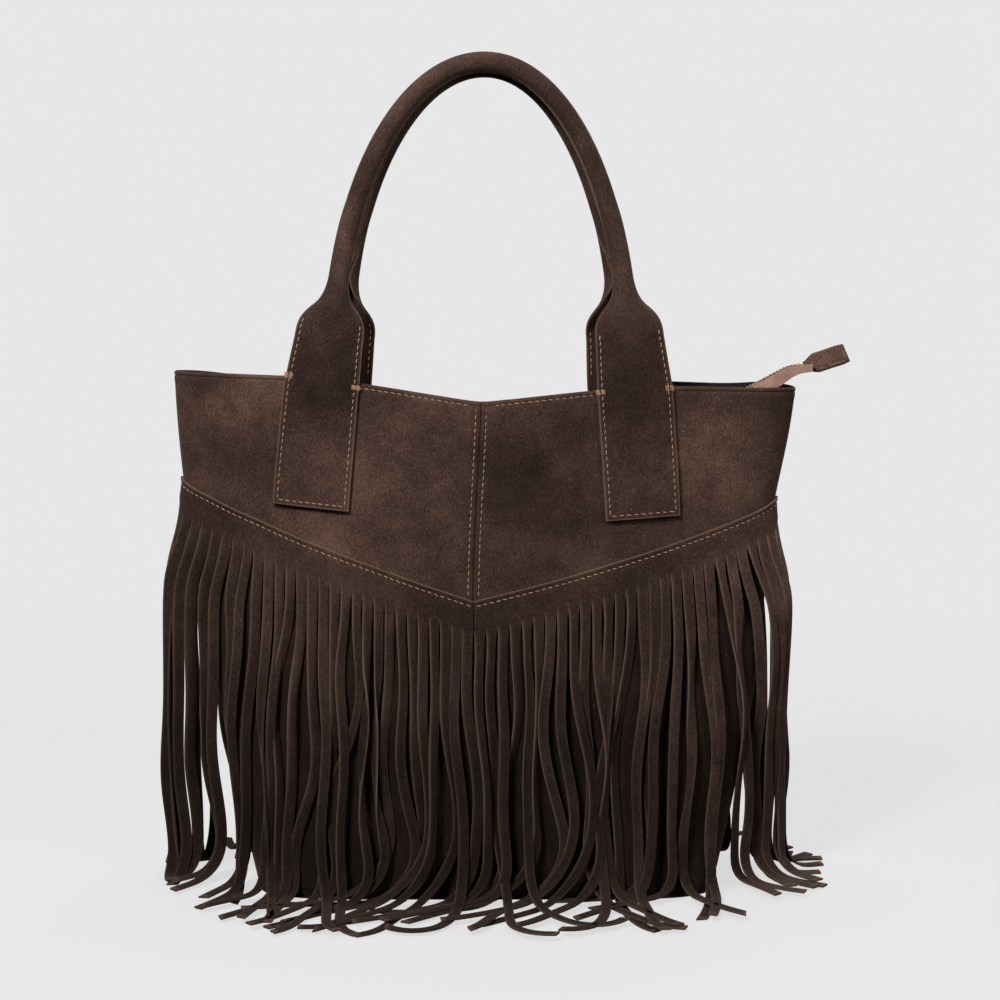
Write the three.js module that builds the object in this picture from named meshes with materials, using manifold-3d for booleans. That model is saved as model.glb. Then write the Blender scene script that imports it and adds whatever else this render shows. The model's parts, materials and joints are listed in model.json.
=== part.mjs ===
// A fringed suede tote: an open bag with a stitched yoke, a chevron fringe front and back,
// two rolled handles and a zip whose closed end stands out past one corner.
// Millimetres, +Z up. The origin is the middle of the base, which the bag stands on.
// The front wall faces -Y, the zip's tail leaves at the +X corner.
import * as THREE from "three";
import { mergeVertices } from "three/addons/utils/BufferGeometryUtils.js";
import Module from "manifold-3d";

const { lerp, clamp, smoothstep } = THREE.MathUtils;
const GAP = 0.5; // between layers that touch on the real bag

// ---------- driving dimensions ----------
const bag = {
  topHalfWidth: 200,
  baseHalfWidth: 146,
  mouthHalfDepth: 35,
  baseHalfDepth: 62,
  height: 331,
  rightCornerDrop: 11, // the right corner of the mouth is lower than the left
  edgeSag: 13, // the top edge dips between the handles
};
const suede = { shell: 1.6, facing: 1.2, lining: 0.8, fringe: 1.4, base: 2 };
const yoke = {
  leftZ: 262, // where the chevron seam meets the side seams
  rightZ: 255,
  vertexZ: 188.5, // its lowest point, on the centre seam
  vertexU: 0.481,
  topU: 0.494, // the centre seam leans a little
  underlap: 8, // how far the yoke runs down behind the fringe panel
};
const fringe = {
  stripsPerSide: 28,
  length: 255, // from the chevron seam to the tips
  band: 24, // left uncut below the seam
  slit: 0.5,
  standOff: 0.8,
  slack: 1.4, // the strips hang this much further off the wall than the band
  sideFlare: 5, // and the band stands off this much more beside the side seams
  floorBend: 12,
  tipLift: 0.3,
};
const facing = { height: 34, topGap: 0.6 };
const base = { boardThickness: 2.4, boardInset: 5, wallGap: 0.4 };
const handle = {
  tabTopX: 98,
  tabBottomX: 103,
  tabBottomZ: 246,
  foldZ: 321, // where the sewn tab ends and the handle stands free
  foldGap: 0.8,
  tabTopWidth: 45,
  tabBottomWidth: 48,
  tabThickness: 3,
  neckX: 89,
  neckZ: 388,
  apexZ: 527,
  shoulderZ: 346, // the strip starts to roll up here
  tubeRadius: 6.5,
  tubeWall: 1.6,
  rollAngle: 6.0, // radians of the rolled strip's section, which leaves a seam slot
  seamGap: 0.5, // between the two handles where they meet at the top
  coreGap: 1.2,
};
const zip = {
  leftX: -178,
  mergeStartX: 82, // the tapes leave the facings here
  mergeEndX: 138, // and run side by side from here
  tailEndX: 209,
  sewnBelowEdge: 20,
  tapeWidth: 11,
  kneeWidth: 2, // left flat beside the chain, for the slider to run on
  tapeThickness: 0.7,
  chainHalfGap: 1.1,
  chainWidth: 2.4,
  chainGap: 0.7, // between the tape's edge and the chain
  chainHeight: 2.2,
  tailSlope: 0.54,
  tailPointX: 183.5, // the tail passes this point
  tailPointZ: 327.5,
  foldStartX: 178, // the tape halves fold down more steeply past the slider
  foldEndX: 188,
  openFold: THREE.MathUtils.degToRad(45),
  tailFold: THREE.MathUtils.degToRad(75),
};
const slider = { x: 146, length: 11, width: 8.6, plate: 1.1, postWidth: 1.5, inside: 3.4 };
const pull = { length: 24, width: 7, thickness: 1.4, hole: 3.2, barGap: 0.5 };

// ---------- the bag's outline ----------
// Half-width, half-depth and squareness (2 is an ellipse) of the outline at a height.
function sectionAt(z) {
  const t = clamp(z / bag.height, 0, 1);
  return {
    a: bag.baseHalfWidth + (bag.topHalfWidth - bag.baseHalfWidth) * (1 - (1 - t) ** 1.6),
    b: bag.mouthHalfDepth + (bag.baseHalfDepth - bag.mouthHalfDepth) * (1 - t ** 1.15),
    n: 2 + 4 * (1 - t) ** 3,
  };
}

const outlines = new Map();
const OUTLINE_STEPS = 400;

// The front half of the outline at a height, from the left seam to the right, with lengths along it.
function outlineAt(z) {
  const key = z.toFixed(3);
  if (outlines.has(key)) return outlines.get(key);
  const { a, b, n } = sectionAt(z);
  const points = [];
  const along = [0];
  for (let i = 0; i <= OUTLINE_STEPS; i++) {
    const angle = (Math.PI * i) / OUTLINE_STEPS;
    const c = Math.cos(angle);
    const x = -a * Math.sign(c) * Math.abs(c) ** (2 / n);
    const y = b * Math.abs(Math.sin(angle)) ** (2 / n);
    points.push([x, y]);
    if (i > 0) along.push(along[i - 1] + Math.hypot(x - points[i - 1][0], y - points[i - 1][1]));
  }
  const made = { points, along, total: along[OUTLINE_STEPS] };
  outlines.set(key, made);
  return made;
}

// A place on a wall. side is -1 for the front and 1 for the back, u runs from the left seam (0)
// to the right seam (1) along the cloth, and out is the distance outside the outer face.
function wallPoint(side, u, z, out = 0) {
  const { points, along, total } = outlineAt(z);
  const target = clamp(u, 0, 1) * total;
  let i = 1;
  while (i < OUTLINE_STEPS && along[i] < target) i++;
  const share = (target - along[i - 1]) / (along[i] - along[i - 1] || 1);
  const [x0, y0] = points[i - 1];
  const [x1, y1] = points[i];
  const length = Math.hypot(x1 - x0, y1 - y0) || 1;
  const nx = -(y1 - y0) / length;
  const ny = (x1 - x0) / length;
  const depth = Math.max(lerp(y0, y1, share) + ny * out, GAP / 2);
  return new THREE.Vector3(lerp(x0, x1, share) + nx * out, side * depth, z);
}

// How deep a wall stands from the middle at a place across, or 0 past its side.
function wallDepth(x, z) {
  const { a, b, n } = sectionAt(z);
  return b * Math.max(0, 1 - Math.abs(x / a) ** n) ** (1 / n);
}

const topEdgeZ = (u) => bag.height - bag.rightCornerDrop * u - bag.edgeSag * Math.sin(Math.PI * u) ** 4;
const centreU = (z) => yoke.vertexU + (yoke.topU - yoke.vertexU) * smoothstep(z, yoke.vertexZ, bag.height);
function seamZ(u) {
  return u < yoke.vertexU
    ? lerp(yoke.leftZ, yoke.vertexZ, u / yoke.vertexU)
    : lerp(yoke.vertexZ, yoke.rightZ, (u - yoke.vertexU) / (1 - yoke.vertexU));
}

// ---------- solids ----------
// A mesh from triangles given as three points each, turned so that its faces point out.
function meshOf(name, triangles, material) {
  let volume = 0;
  for (const [p, q, r] of triangles) volume += p.dot(new THREE.Vector3().crossVectors(q, r));
  const flat = triangles.flatMap(([p, q, r]) => (volume < 0 ? [p, r, q] : [p, q, r]));
  const geometry = new THREE.BufferGeometry().setFromPoints(flat);
  geometry.computeVertexNormals();
  const mesh = new THREE.Mesh(geometry, material);
  mesh.name = name;
  return mesh;
}

// A sheet with thickness: outer(row, column) and inner(row, column) are its two faces, and
// cellOn(row, column) leaves out the cells that are cut away.
function sheet(name, rows, columns, outer, inner, material, cellOn = () => true) {
  const at = (face) => Array.from({ length: rows + 1 }, (_, r) =>
    Array.from({ length: columns + 1 }, (_, c) => face(r, c)));
  const o = at(outer);
  const i = at(inner);
  const on = (r, c) => r >= 0 && c >= 0 && r < rows && c < columns && cellOn(r, c);
  const triangles = [];
  const quad = (a, b, c, d) => triangles.push([a, b, c], [a, c, d]);
  for (let r = 0; r < rows; r++) {
    for (let c = 0; c < columns; c++) {
      if (!on(r, c)) continue;
      quad(o[r][c], o[r][c + 1], o[r + 1][c + 1], o[r + 1][c]);
      quad(i[r][c], i[r + 1][c], i[r + 1][c + 1], i[r][c + 1]);
      if (!on(r - 1, c)) quad(o[r][c], i[r][c], i[r][c + 1], o[r][c + 1]);
      if (!on(r + 1, c)) quad(o[r + 1][c], o[r + 1][c + 1], i[r + 1][c + 1], i[r + 1][c]);
      if (!on(r, c - 1)) quad(o[r][c], o[r + 1][c], i[r + 1][c], i[r][c]);
      if (!on(r, c + 1)) quad(o[r][c + 1], i[r][c + 1], i[r + 1][c + 1], o[r + 1][c + 1]);
    }
  }
  return meshOf(name, triangles, material);
}

// A flat plate or block from a closed outline of [x, y] points, between two heights.
function plate(name, outline, bottomZ, topZ, material) {
  const geometry = new THREE.ExtrudeGeometry(
    new THREE.Shape(outline.map(([x, y]) => new THREE.Vector2(x, y))),
    { depth: topZ - bottomZ, bevelEnabled: false },
  );
  geometry.translate(0, 0, bottomZ);
  const mesh = new THREE.Mesh(geometry, material);
  mesh.name = name;
  return mesh;
}

const makeMaterial = (color, roughness, metalness = 0) =>
  new THREE.MeshStandardMaterial({ color, roughness, metalness });
const materials = {
  suede: makeMaterial(0x4a372e, 0.95),
  facing: makeMaterial(0x141313, 0.95),
  lining: makeMaterial(0x141313, 0.8),
  board: makeMaterial(0x6b5b48, 0.9),
  tape: makeMaterial(0x8a6a5a, 0.85),
  rope: makeMaterial(0xb3a58f, 0.95),
  metal: makeMaterial(0x9a8f7c, 0.35, 1),
};

// Places across a wall where every layer has its creases, so that layers stay parallel:
// each strip's edge near the side seams, and every second one elsewhere.
const FINE_STRIPS = 4;
function stations() {
  const n = fringe.stripsPerSide;
  const left = [];
  for (let i = 0; i <= n; i += i < FINE_STRIPS ? 1 : 2) left.push((yoke.vertexU * i) / n);
  const right = left.map((u) => 1 - (u / yoke.vertexU) * (1 - yoke.vertexU)).reverse();
  return [...left, ...right.slice(1)];
}
const wallStations = stations();
const middleStation = (wallStations.length - 1) / 2;

// ---------- shell ----------
const YOKE_ROWS = 3;
const LOWER_ROWS = 4;

function yokePanel(name, side, first, last) {
  const seamShift = (u, z) => {
    const onLeft = first === 0;
    const share = onLeft ? u / yoke.vertexU : (1 - u) / (1 - yoke.vertexU);
    const gap = (onLeft ? -1 : 1) * 0.0005;
    return u + (centreU(z) - yoke.vertexU + gap) * share;
  };
  const face = (depth) => (r, c) => {
    const u = wallStations[first + c];
    const z = lerp(seamZ(u) - yoke.underlap, topEdgeZ(u), r / YOKE_ROWS);
    return wallPoint(side, seamShift(u, z), z, -depth);
  };
  return sheet(name, YOKE_ROWS, last - first, face(0), face(suede.shell), materials.suede);
}

function lowerPanel(name, side) {
  const face = (depth) => (r, c) => {
    const u = wallStations[c];
    const z = lerp(suede.base + base.wallGap, seamZ(u) - yoke.underlap - GAP, r / LOWER_ROWS);
    return wallPoint(side, u, z, -depth);
  };
  return sheet(name, LOWER_ROWS, wallStations.length - 1, face(0), face(suede.shell), materials.suede);
}

// One half of a fringe panel: an uncut band under the chevron seam, and strips below it that hang
// plumb over the wall, reach the floor and lie outwards on it.
const STRIP_ROWS = 4;
const BAND_ROWS = 1;
const slitPoint = (side, u, z) => wallPoint(
  side, u, z, fringe.standOff + fringe.sideFlare * smoothstep(Math.abs(2 * u - 1), 0.6, 0.95),
);
// The deepest the wall stands at a place across, between a height and the slit above it.
function deepest(x, z, slitZ) {
  const low = Math.max(0, z - 30);
  return Math.max(...[0, 0.2, 0.4, 0.6, 0.8].map((share) => wallDepth(x, lerp(low, slitZ, share))));
}

function fringePanel(name, side, onLeft) {
  const n = fringe.stripsPerSide;
  const edgeU = (i) => (onLeft ? (yoke.vertexU * i) / n : yoke.vertexU + ((1 - yoke.vertexU) * i) / n);
  const halfSlitU = fringe.slit / 2 / outlineAt(yoke.vertexZ).total;
  const columnU = (c) => edgeU(Math.floor((c + 1) / 2)) + (c % 2 ? -halfSlitU : halfSlitU);
  const stripU = (c) => columnU(2 * Math.floor(c / 2)) / 2 + columnU(2 * Math.floor(c / 2) + 1) / 2;

  // Where a strip is after a length below the slit, and which way its outer face looks.
  const hang = (c, slitZ, length, depth) => {
    const u = columnU(c);
    const start = slitPoint(side, u, slitZ);
    const away = wallPoint(side, stripU(c), slitZ, 1).sub(wallPoint(side, stripU(c), slitZ, 0)).normalize();
    const drop = slitZ - fringe.tipLift;
    const fall = Math.max(0, Math.min(length, drop - fringe.floorBend));
    const place = start.clone();
    place.z = slitZ - fall;
    if (length > 0) {
      const slack = fringe.standOff + fringe.slack;
      place.y = side * Math.max(Math.abs(start.y), deepest(start.x, place.z, slitZ) + slack);
    }
    const turn = clamp((length - fall) / fringe.floorBend, 0, Math.PI / 2);
    const run = Math.max(0, length - fall - (fringe.floorBend * Math.PI) / 2);
    place.addScaledVector(away, fringe.floorBend * (1 - Math.cos(turn)) + run);
    place.z -= fringe.floorBend * Math.sin(turn);
    const facingOut = away.clone().multiplyScalar(Math.cos(turn));
    facingOut.z = Math.sin(turn);
    return place.addScaledVector(facingOut, depth);
  };

  // Lengths along a strip where it is creased: at the slit, half way down the wall, on both sides
  // of the bend at the floor, and at the tip.
  const creases = (slitZ) => {
    const whole = fringe.length - fringe.band;
    const bendEnd = Math.min(slitZ - fringe.tipLift + fringe.floorBend * 0.57, whole - 6);
    const bendStart = bendEnd - fringe.floorBend * 1.57;
    return [whole, bendEnd, bendStart, bendStart * 0.33, 0];
  };
  const face = (depth) => (r, c) => {
    const u = columnU(c);
    const slitZ = seamZ(stripU(c)) - fringe.band;
    if (r <= STRIP_ROWS) return hang(c, slitZ, creases(slitZ)[r], depth);
    return wallPoint(side, u, seamZ(u), fringe.standOff + depth);
  };
  const cellOn = (r, c) => r >= STRIP_ROWS || c % 2 === 0;
  return sheet(
    name, STRIP_ROWS + BAND_ROWS, 2 * n - 1,
    face(suede.fringe), face(0), materials.suede, cellOn,
  );
}

function facingPanel(name, side) {
  const first = 1;
  const last = wallStations.length - 2;
  const outer = suede.shell + GAP;
  const face = (depth) => (r, c) => {
    const u = wallStations[first + c];
    const z = topEdgeZ(u) - facing.topGap - facing.height * (1 - r);
    return wallPoint(side, u, z, -depth);
  };
  return sheet(name, 1, last - first, face(outer), face(outer + suede.facing), materials.facing);
}

// The lining is one bag of cloth inside the walls, open at the top below the facings.
const LINING_ROWS = 4;
function liningBag() {
  const outer = suede.shell + GAP;
  const floorZ = suede.base + GAP + base.boardThickness + GAP;
  const clearance = 3;
  const lastStation = wallStations.length - 1;
  const ring = (depth, r) => {
    const place = (side, k) => {
      const u = wallStations[k];
      const topZ = topEdgeZ(u) - facing.topGap - facing.height - GAP;
      const z = lerp(floorZ + (depth - outer), topZ, r / LINING_ROWS);
      return wallPoint(side, u, z, -depth - clearance * (1 - r / LINING_ROWS));
    };
    const front = wallStations.map((_, k) => place(-1, k)).slice(1, lastStation);
    const back = wallStations.map((_, k) => place(1, k)).slice(1, lastStation);
    return [...front, ...back.reverse()];
  };
  const rings = (depth) => Array.from({ length: LINING_ROWS + 1 }, (_, r) => ring(depth, r));
  const outside = rings(outer);
  const inside = rings(outer + suede.lining);
  const count = outside[0].length;
  const triangles = [];
  const quad = (a, b, c, d) => triangles.push([a, b, c], [a, c, d]);
  const middle = (points) => points.reduce((sum, p) => sum.add(p), new THREE.Vector3()).divideScalar(count);
  const outsideMiddle = middle(outside[0]);
  const insideMiddle = middle(inside[0]);
  outsideMiddle.z = outside[0][0].z;
  insideMiddle.z = inside[0][0].z;
  for (let k = 0; k < count; k++) {
    const next = (k + 1) % count;
    for (let r = 0; r < LINING_ROWS; r++) {
      quad(outside[r][k], outside[r][next], outside[r + 1][next], outside[r + 1][k]);
      quad(inside[r][k], inside[r + 1][k], inside[r + 1][next], inside[r][next]);
    }
    quad(outside[LINING_ROWS][k], outside[LINING_ROWS][next], inside[LINING_ROWS][next], inside[LINING_ROWS][k]);
    triangles.push([outsideMiddle, outside[0][next], outside[0][k]]);
    triangles.push([insideMiddle, inside[0][k], inside[0][next]]);
  }
  return meshOf("lining", triangles, materials.lining);
}

function baseOutline(inset) {
  const at = (side) => wallStations.map((u) => {
    const p = wallPoint(side, u, 0, -inset);
    return [p.x, p.y];
  });
  return [...at(-1), ...at(1).reverse()];
}

// ---------- handles ----------
// The centre line of the free handle from the left fold to the right, as [x, z].
function handleLine(t) {
  const tabShare = 0.17;
  const fold = handle.foldZ + handle.foldGap;
  const side = t < 0.5 ? -1 : 1;
  const s = Math.min(t, 1 - t);
  if (s < tabShare) {
    const share = s / tabShare;
    const ease = share * share;
    return [side * lerp(handle.tabTopX, handle.neckX, ease), lerp(fold, handle.neckZ, share)];
  }
  const angle = ((s - tabShare) / (0.5 - tabShare)) * (Math.PI / 2);
  return [
    side * handle.neckX * Math.cos(angle),
    handle.neckZ + (handle.apexZ - handle.neckZ) * Math.sin(angle),
  ];
}

// The outermost face of a free handle leans in from the wall until the two handles meet.
function crownDepth(z) {
  const atFold = wallDepth(handle.tabTopX, handle.foldZ) + GAP + handle.tabThickness;
  const atApex = handle.seamGap + 2 * handle.tubeRadius;
  return lerp(atFold, atApex, clamp((z - handle.foldZ) / (handle.apexZ - handle.foldZ), 0, 1));
}

// One place on the rolled strip: across runs from -1 to 1 over its width, and depth is measured
// in from its outer face. The strip is flat at the tabs and rolls up to a tube at the necks.
function stripPoint(side, t, across, depth) {
  const step = 0.002;
  const [x, z] = handleLine(t);
  const [xa, za] = handleLine(Math.max(0, t - step));
  const [xb, zb] = handleLine(Math.min(1, t + step));
  const along = new THREE.Vector2(xb - xa, zb - za).normalize();
  const roll = smoothstep(z, handle.shoulderZ, handle.neckZ);
  const angle = lerp(0.02, handle.rollAngle, roll);
  const thickness = lerp(handle.tabThickness, handle.tubeWall, roll);
  const tubeWidth = (handle.tubeRadius - handle.tubeWall / 2) * handle.rollAngle;
  const width = lerp(handle.tabTopWidth, tubeWidth, roll);
  const radius = width / angle + thickness / 2;
  const theta = (across * angle) / 2;
  const r = radius - depth * thickness;
  const sideways = r * Math.sin(theta);
  const inwards = radius - r * Math.cos(theta);
  const acrossX = x + along.y * sideways;
  const onWall = wallDepth(acrossX, handle.foldZ) - wallDepth(handle.tabTopX, handle.foldZ);
  const follow = onWall * (1 - smoothstep(z, handle.foldZ, handle.neckZ));
  return new THREE.Vector3(
    acrossX,
    side * (crownDepth(z) + follow - inwards),
    z - along.x * sideways,
  );
}

const HANDLE_ROWS = 32;
const HANDLE_COLUMNS = 8;
function handleCover(name, side) {
  const face = (depth) => (r, c) => stripPoint(side, r / HANDLE_ROWS, (2 * c) / HANDLE_COLUMNS - 1, depth);
  return sheet(name, HANDLE_ROWS, HANDLE_COLUMNS, face(0), face(1), materials.suede);
}

// The filler rope inside the rolled part.
function handleCore(name, side) {
  const radius = handle.tubeRadius - handle.tubeWall - handle.coreGap;
  const first = 0.19;
  const steps = 18;
  const points = Array.from({ length: steps + 1 }, (_, i) => {
    const [x, z] = handleLine(lerp(first, 1 - first, i / steps));
    return new THREE.Vector3(x, side * (crownDepth(z) - handle.tubeRadius), z);
  });
  const sides = 7;
  const section = new THREE.Shape(Array.from({ length: sides }, (_, i) => {
    const angle = (2 * Math.PI * i) / sides;
    return new THREE.Vector2(radius * Math.cos(angle), radius * Math.sin(angle));
  }));
  const geometry = new THREE.ExtrudeGeometry(section, {
    steps, extrudePath: new THREE.CatmullRomCurve3(points), bevelEnabled: false,
  });
  const mesh = new THREE.Mesh(geometry, materials.rope);
  mesh.name = name;
  return mesh;
}

// The part of the handle strip that is sewn down on the yoke.
const TAB_ROWS = 4;
const TAB_COLUMNS = 4;
function sewnTab(name, side, hand) {
  const face = (depth) => (r, c) => {
    const share = r / TAB_ROWS;
    const z = lerp(handle.tabBottomZ, handle.foldZ, share);
    const x = hand * lerp(handle.tabBottomX, handle.tabTopX, share);
    const width = lerp(handle.tabBottomWidth, handle.tabTopWidth, share);
    const middle = uOfX(x, z);
    const u = middle + (width * (c / TAB_COLUMNS - 0.5)) / outlineAt(z).total;
    return wallPoint(side, u, z, GAP + depth);
  };
  return sheet(name, TAB_ROWS, TAB_COLUMNS, face(handle.tabThickness), face(0), materials.suede);
}

function uOfX(x, z) {
  let low = 0;
  let high = 1;
  for (let i = 0; i < 40; i++) {
    const middle = (low + high) / 2;
    if (wallPoint(-1, middle, z).x < x) low = middle;
    else high = middle;
  }
  return low;
}

// ---------- zip ----------
const ridgeZ = (x) => zip.tailPointZ + zip.tailSlope * (x - zip.tailPointX);

// The toothed edge, the knee and the sewn edge of one tape at a place along the zip.
function tapeEdges(side, x) {
  const merge = smoothstep(x, zip.mergeStartX, zip.mergeEndX);
  const sewnZ = topEdgeZ(uOfX(x, bag.height - zip.sewnBelowEdge)) - zip.sewnBelowEdge;
  const layers = suede.shell + suede.facing + 3 * GAP + zip.tapeThickness;
  const inside = wallDepth(x, sewnZ) - layers;
  const innermost = zip.chainHalfGap + zip.chainWidth;
  const fold = lerp(zip.openFold, zip.tailFold, smoothstep(x, zip.foldStartX, zip.foldEndX));
  const reach = clamp(inside - innermost, 0, zip.tapeWidth * 0.9);
  const fallen = Math.sqrt(zip.tapeWidth ** 2 - reach ** 2);
  const sewnOpen = new THREE.Vector3(x, side * inside, sewnZ);
  const toothedOpen = new THREE.Vector3(x, side * (inside - reach), sewnZ - fallen);
  const toothedShut = new THREE.Vector3(x, side * innermost, ridgeZ(x));
  const kneeShut = toothedShut.clone().add(new THREE.Vector3(0, side * zip.kneeWidth, 0));
  const folded = zip.tapeWidth - zip.kneeWidth;
  const sewnShut = kneeShut.clone().add(new THREE.Vector3(
    0, side * folded * Math.cos(fold), -folded * Math.sin(fold),
  ));
  const kneeOpen = toothedOpen.clone().lerp(sewnOpen, zip.kneeWidth / zip.tapeWidth);
  return {
    toothed: toothedOpen.lerp(toothedShut, merge),
    knee: kneeOpen.lerp(kneeShut, merge),
    sewn: sewnOpen.lerp(sewnShut, merge),
  };
}

const ZIP_STEPS = 24;
// The zip's places along X, closer together where the tapes leave the walls.
function zipX(step) {
  const plain = 8;
  return step < plain
    ? lerp(zip.leftX, zip.mergeStartX, step / plain)
    : lerp(zip.mergeStartX, zip.tailEndX, (step - plain) / (ZIP_STEPS - plain));
}

function zipTape(name, side) {
  const face = (depth) => (r, c) => {
    const { toothed, knee, sewn } = tapeEdges(side, zipX(c));
    const [from, to] = [[toothed, knee], [toothed, sewn], [knee, sewn]][r];
    const across = to.clone().sub(from).normalize();
    const up = new THREE.Vector3(0, -across.z * side, across.y * side).normalize();
    const place = [toothed, knee, sewn][r];
    return place.clone().addScaledVector(up, depth * zip.tapeThickness);
  };
  return sheet(name, 2, ZIP_STEPS, face(0.5), face(-0.5), materials.tape);
}

function zipTeeth(name, side) {
  const face = (height) => (r, c) => {
    const { toothed } = tapeEdges(side, zipX(c));
    const y = toothed.y - side * lerp(zip.chainGap, zip.chainWidth, r);
    return new THREE.Vector3(toothed.x, y, toothed.z + height * zip.chainHeight);
  };
  return sheet(name, 1, ZIP_STEPS, face(0.5), face(-0.5), materials.metal);
}

const tailAngle = Math.atan(zip.tailSlope);

// A place on the zip's tail: along it from a point over x, to a side and up from the chain.
function onTail(x, along, sideways, up) {
  return new THREE.Vector3(
    x + along * Math.cos(tailAngle) - up * Math.sin(tailAngle),
    sideways,
    ridgeZ(x) + along * Math.sin(tailAngle) + up * Math.cos(tailAngle),
  );
}

// A block on the tail: its corners are given along the tail, across it and up from the chain.
function tailBlock(name, x, low, high, material) {
  const face = (end) => (r, c) =>
    onTail(x, c ? high[0] : low[0], r ? high[1] : low[1], end ? high[2] : low[2]);
  return sheet(name, 1, 1, face(1), face(0), material);
}

// A solid from an outline of [along, up] points, drawn out sideways between two places.
function tailProfile(name, x, outline, fromY, toY, material) {
  const triangles = [];
  const shape = outline.map(([along, up]) => new THREE.Vector2(along, up));
  const faces = THREE.ShapeUtils.triangulateShape(shape, []);
  const at = (i, y) => onTail(x, outline[i][0], y, outline[i][1]);
  for (const [a, b, c] of faces) {
    triangles.push([at(a, fromY), at(b, fromY), at(c, fromY)]);
    triangles.push([at(a, toY), at(c, toY), at(b, toY)]);
  }
  const turned = THREE.ShapeUtils.area(shape) < 0 ? -1 : 1;
  outline.forEach((_, i) => {
    const j = (i + 1) % outline.length;
    const [p, q] = turned > 0 ? [j, i] : [i, j];
    triangles.push([at(p, fromY), at(q, fromY), at(q, toY)], [at(p, fromY), at(q, toY), at(p, toY)]);
  });
  return meshOf(name, triangles, material);
}

// The slider is a side view drawn out sideways: two plates joined by a post, and a bridge on top
// that holds the pull.
const bridge = { start: 2.4, end: 8.6, height: 3.7, thickness: 1.1, width: 2.4 };
async function zipSlider() {
  const wasm = await Module();
  wasm.setup();
  const solidOf = (mesh) => {
    const geometry = mesh.geometry.clone();
    geometry.deleteAttribute("normal");
    const merged = mergeVertices(geometry, 1e-4);
    return new wasm.Manifold(new wasm.Mesh({
      numProp: 3,
      vertProperties: merged.attributes.position.array,
      triVerts: new Uint32Array(merged.index.array),
    }));
  };
  const half = slider.width / 2;
  const top = slider.inside / 2 + slider.plate;
  const block = (low, high) => solidOf(tailBlock("part", slider.x, low, high, materials.metal));
  const bridgeOutline = [
    [bridge.start, top - 0.3], [bridge.start, top + bridge.height], [bridge.end, top + bridge.height],
    [bridge.end, top - 0.3], [bridge.end - bridge.thickness, top - 0.3],
    [bridge.end - bridge.thickness, top + bridge.height - bridge.thickness],
    [bridge.start + bridge.thickness, top + bridge.height - bridge.thickness],
    [bridge.start + bridge.thickness, top - 0.3],
  ];
  const solid = block([0, -half, slider.inside / 2], [slider.length, half, top])
    .add(block([0, -half, -top], [slider.length, half, -slider.inside / 2]))
    .add(block([0.2, -slider.postWidth / 2, -slider.inside], [3, slider.postWidth / 2, slider.inside / 2 + 0.2]))
    .subtract(block([-5, -half * 2, -top - 9], [20, half * 2, -top]))
    .add(solidOf(tailProfile("part", slider.x, bridgeOutline, -bridge.width / 2, bridge.width / 2, materials.metal)));
  const { numProp, vertProperties, triVerts } = solid.getMesh();
  const geometry = new THREE.BufferGeometry();
  const positions = new Float32Array((vertProperties.length / numProp) * 3);
  for (let i = 0; i < positions.length / 3; i++) {
    positions.set(vertProperties.subarray(i * numProp, i * numProp + 3), i * 3);
  }
  geometry.setAttribute("position", new THREE.BufferAttribute(positions, 3));
  geometry.setIndex(new THREE.BufferAttribute(new Uint32Array(triVerts), 1));
  const mesh = new THREE.Mesh(geometry, materials.metal);
  mesh.name = "zip_slider";
  return mesh;
}

// The pull lies back along the tail from the slider's bridge: a flat tag with a hole at its top.
function zipPull() {
  const top = slider.inside / 2 + slider.plate;
  const hingeAlong = bridge.start + bridge.thickness + pull.barGap;
  const up = top + pull.barGap;
  const half = pull.width / 2;
  const innerHalf = bridge.width / 2 + pull.barGap;
  const ring = 2.4; // the tag's loop that passes under the bridge
  const outline = [
    [hingeAlong + ring, -half + 1], [hingeAlong + ring, half - 1], [hingeAlong, half],
    [hingeAlong - pull.length, half], [hingeAlong - pull.length - 2, half - 2],
    [hingeAlong - pull.length - 2, -half + 2], [hingeAlong - pull.length, -half], [hingeAlong, -half],
  ];
  const hole = [
    [hingeAlong + ring - pull.thickness, -innerHalf], [hingeAlong + ring - pull.thickness, innerHalf],
    [hingeAlong - pull.hole - 2, innerHalf], [hingeAlong - pull.hole - 2, -innerHalf],
  ];
  const shape = new THREE.Shape(outline.map(([x, y]) => new THREE.Vector2(x, y)));
  shape.holes.push(new THREE.Path(hole.map(([x, y]) => new THREE.Vector2(x, y))));
  const geometry = new THREE.ExtrudeGeometry(shape, { depth: pull.thickness, bevelEnabled: false });
  const mesh = new THREE.Mesh(geometry, materials.metal);
  mesh.name = "zip_pull";
  const turned = new THREE.Group();
  const origin = onTail(slider.x, 0, 0, up);
  turned.position.copy(origin);
  turned.rotation.y = -tailAngle;
  turned.add(mesh);
  return turned;
}

// The suede tab folded over the end of the tapes.
function zipEndTab() {
  const gap = GAP;
  const sections = [
    { along: gap, half: 4.5, up: 1.6 }, { along: 3, half: 7, up: 2.6 },
    { along: 8, half: 9, up: 3 }, { along: 25, half: 9.5, up: 2.8 },
  ];
  const lift = -3.2; // the folded tapes gather below the chain
  const face = (top) => (r, c) => {
    const s = sections[c];
    return onTail(zip.tailEndX, s.along, (2 * r - 1) * s.half, lift + top * s.up);
  };
  return sheet("zip_end_tab", 1, sections.length - 1, face(1), face(-1), materials.suede);
}

// Small stops clamped on the chains: one on each at the left end, one across both at the tail.
function topStop(name, side) {
  const { toothed } = tapeEdges(side, zip.leftX);
  const size = [3, 1.5, 2.6];
  const geometry = new THREE.BoxGeometry(...size);
  const mesh = new THREE.Mesh(geometry, materials.metal);
  mesh.name = name;
  mesh.position.set(toothed.x - size[0] / 2 - 0.3, toothed.y - side * size[1] / 2, toothed.z);
  return mesh;
}

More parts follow.
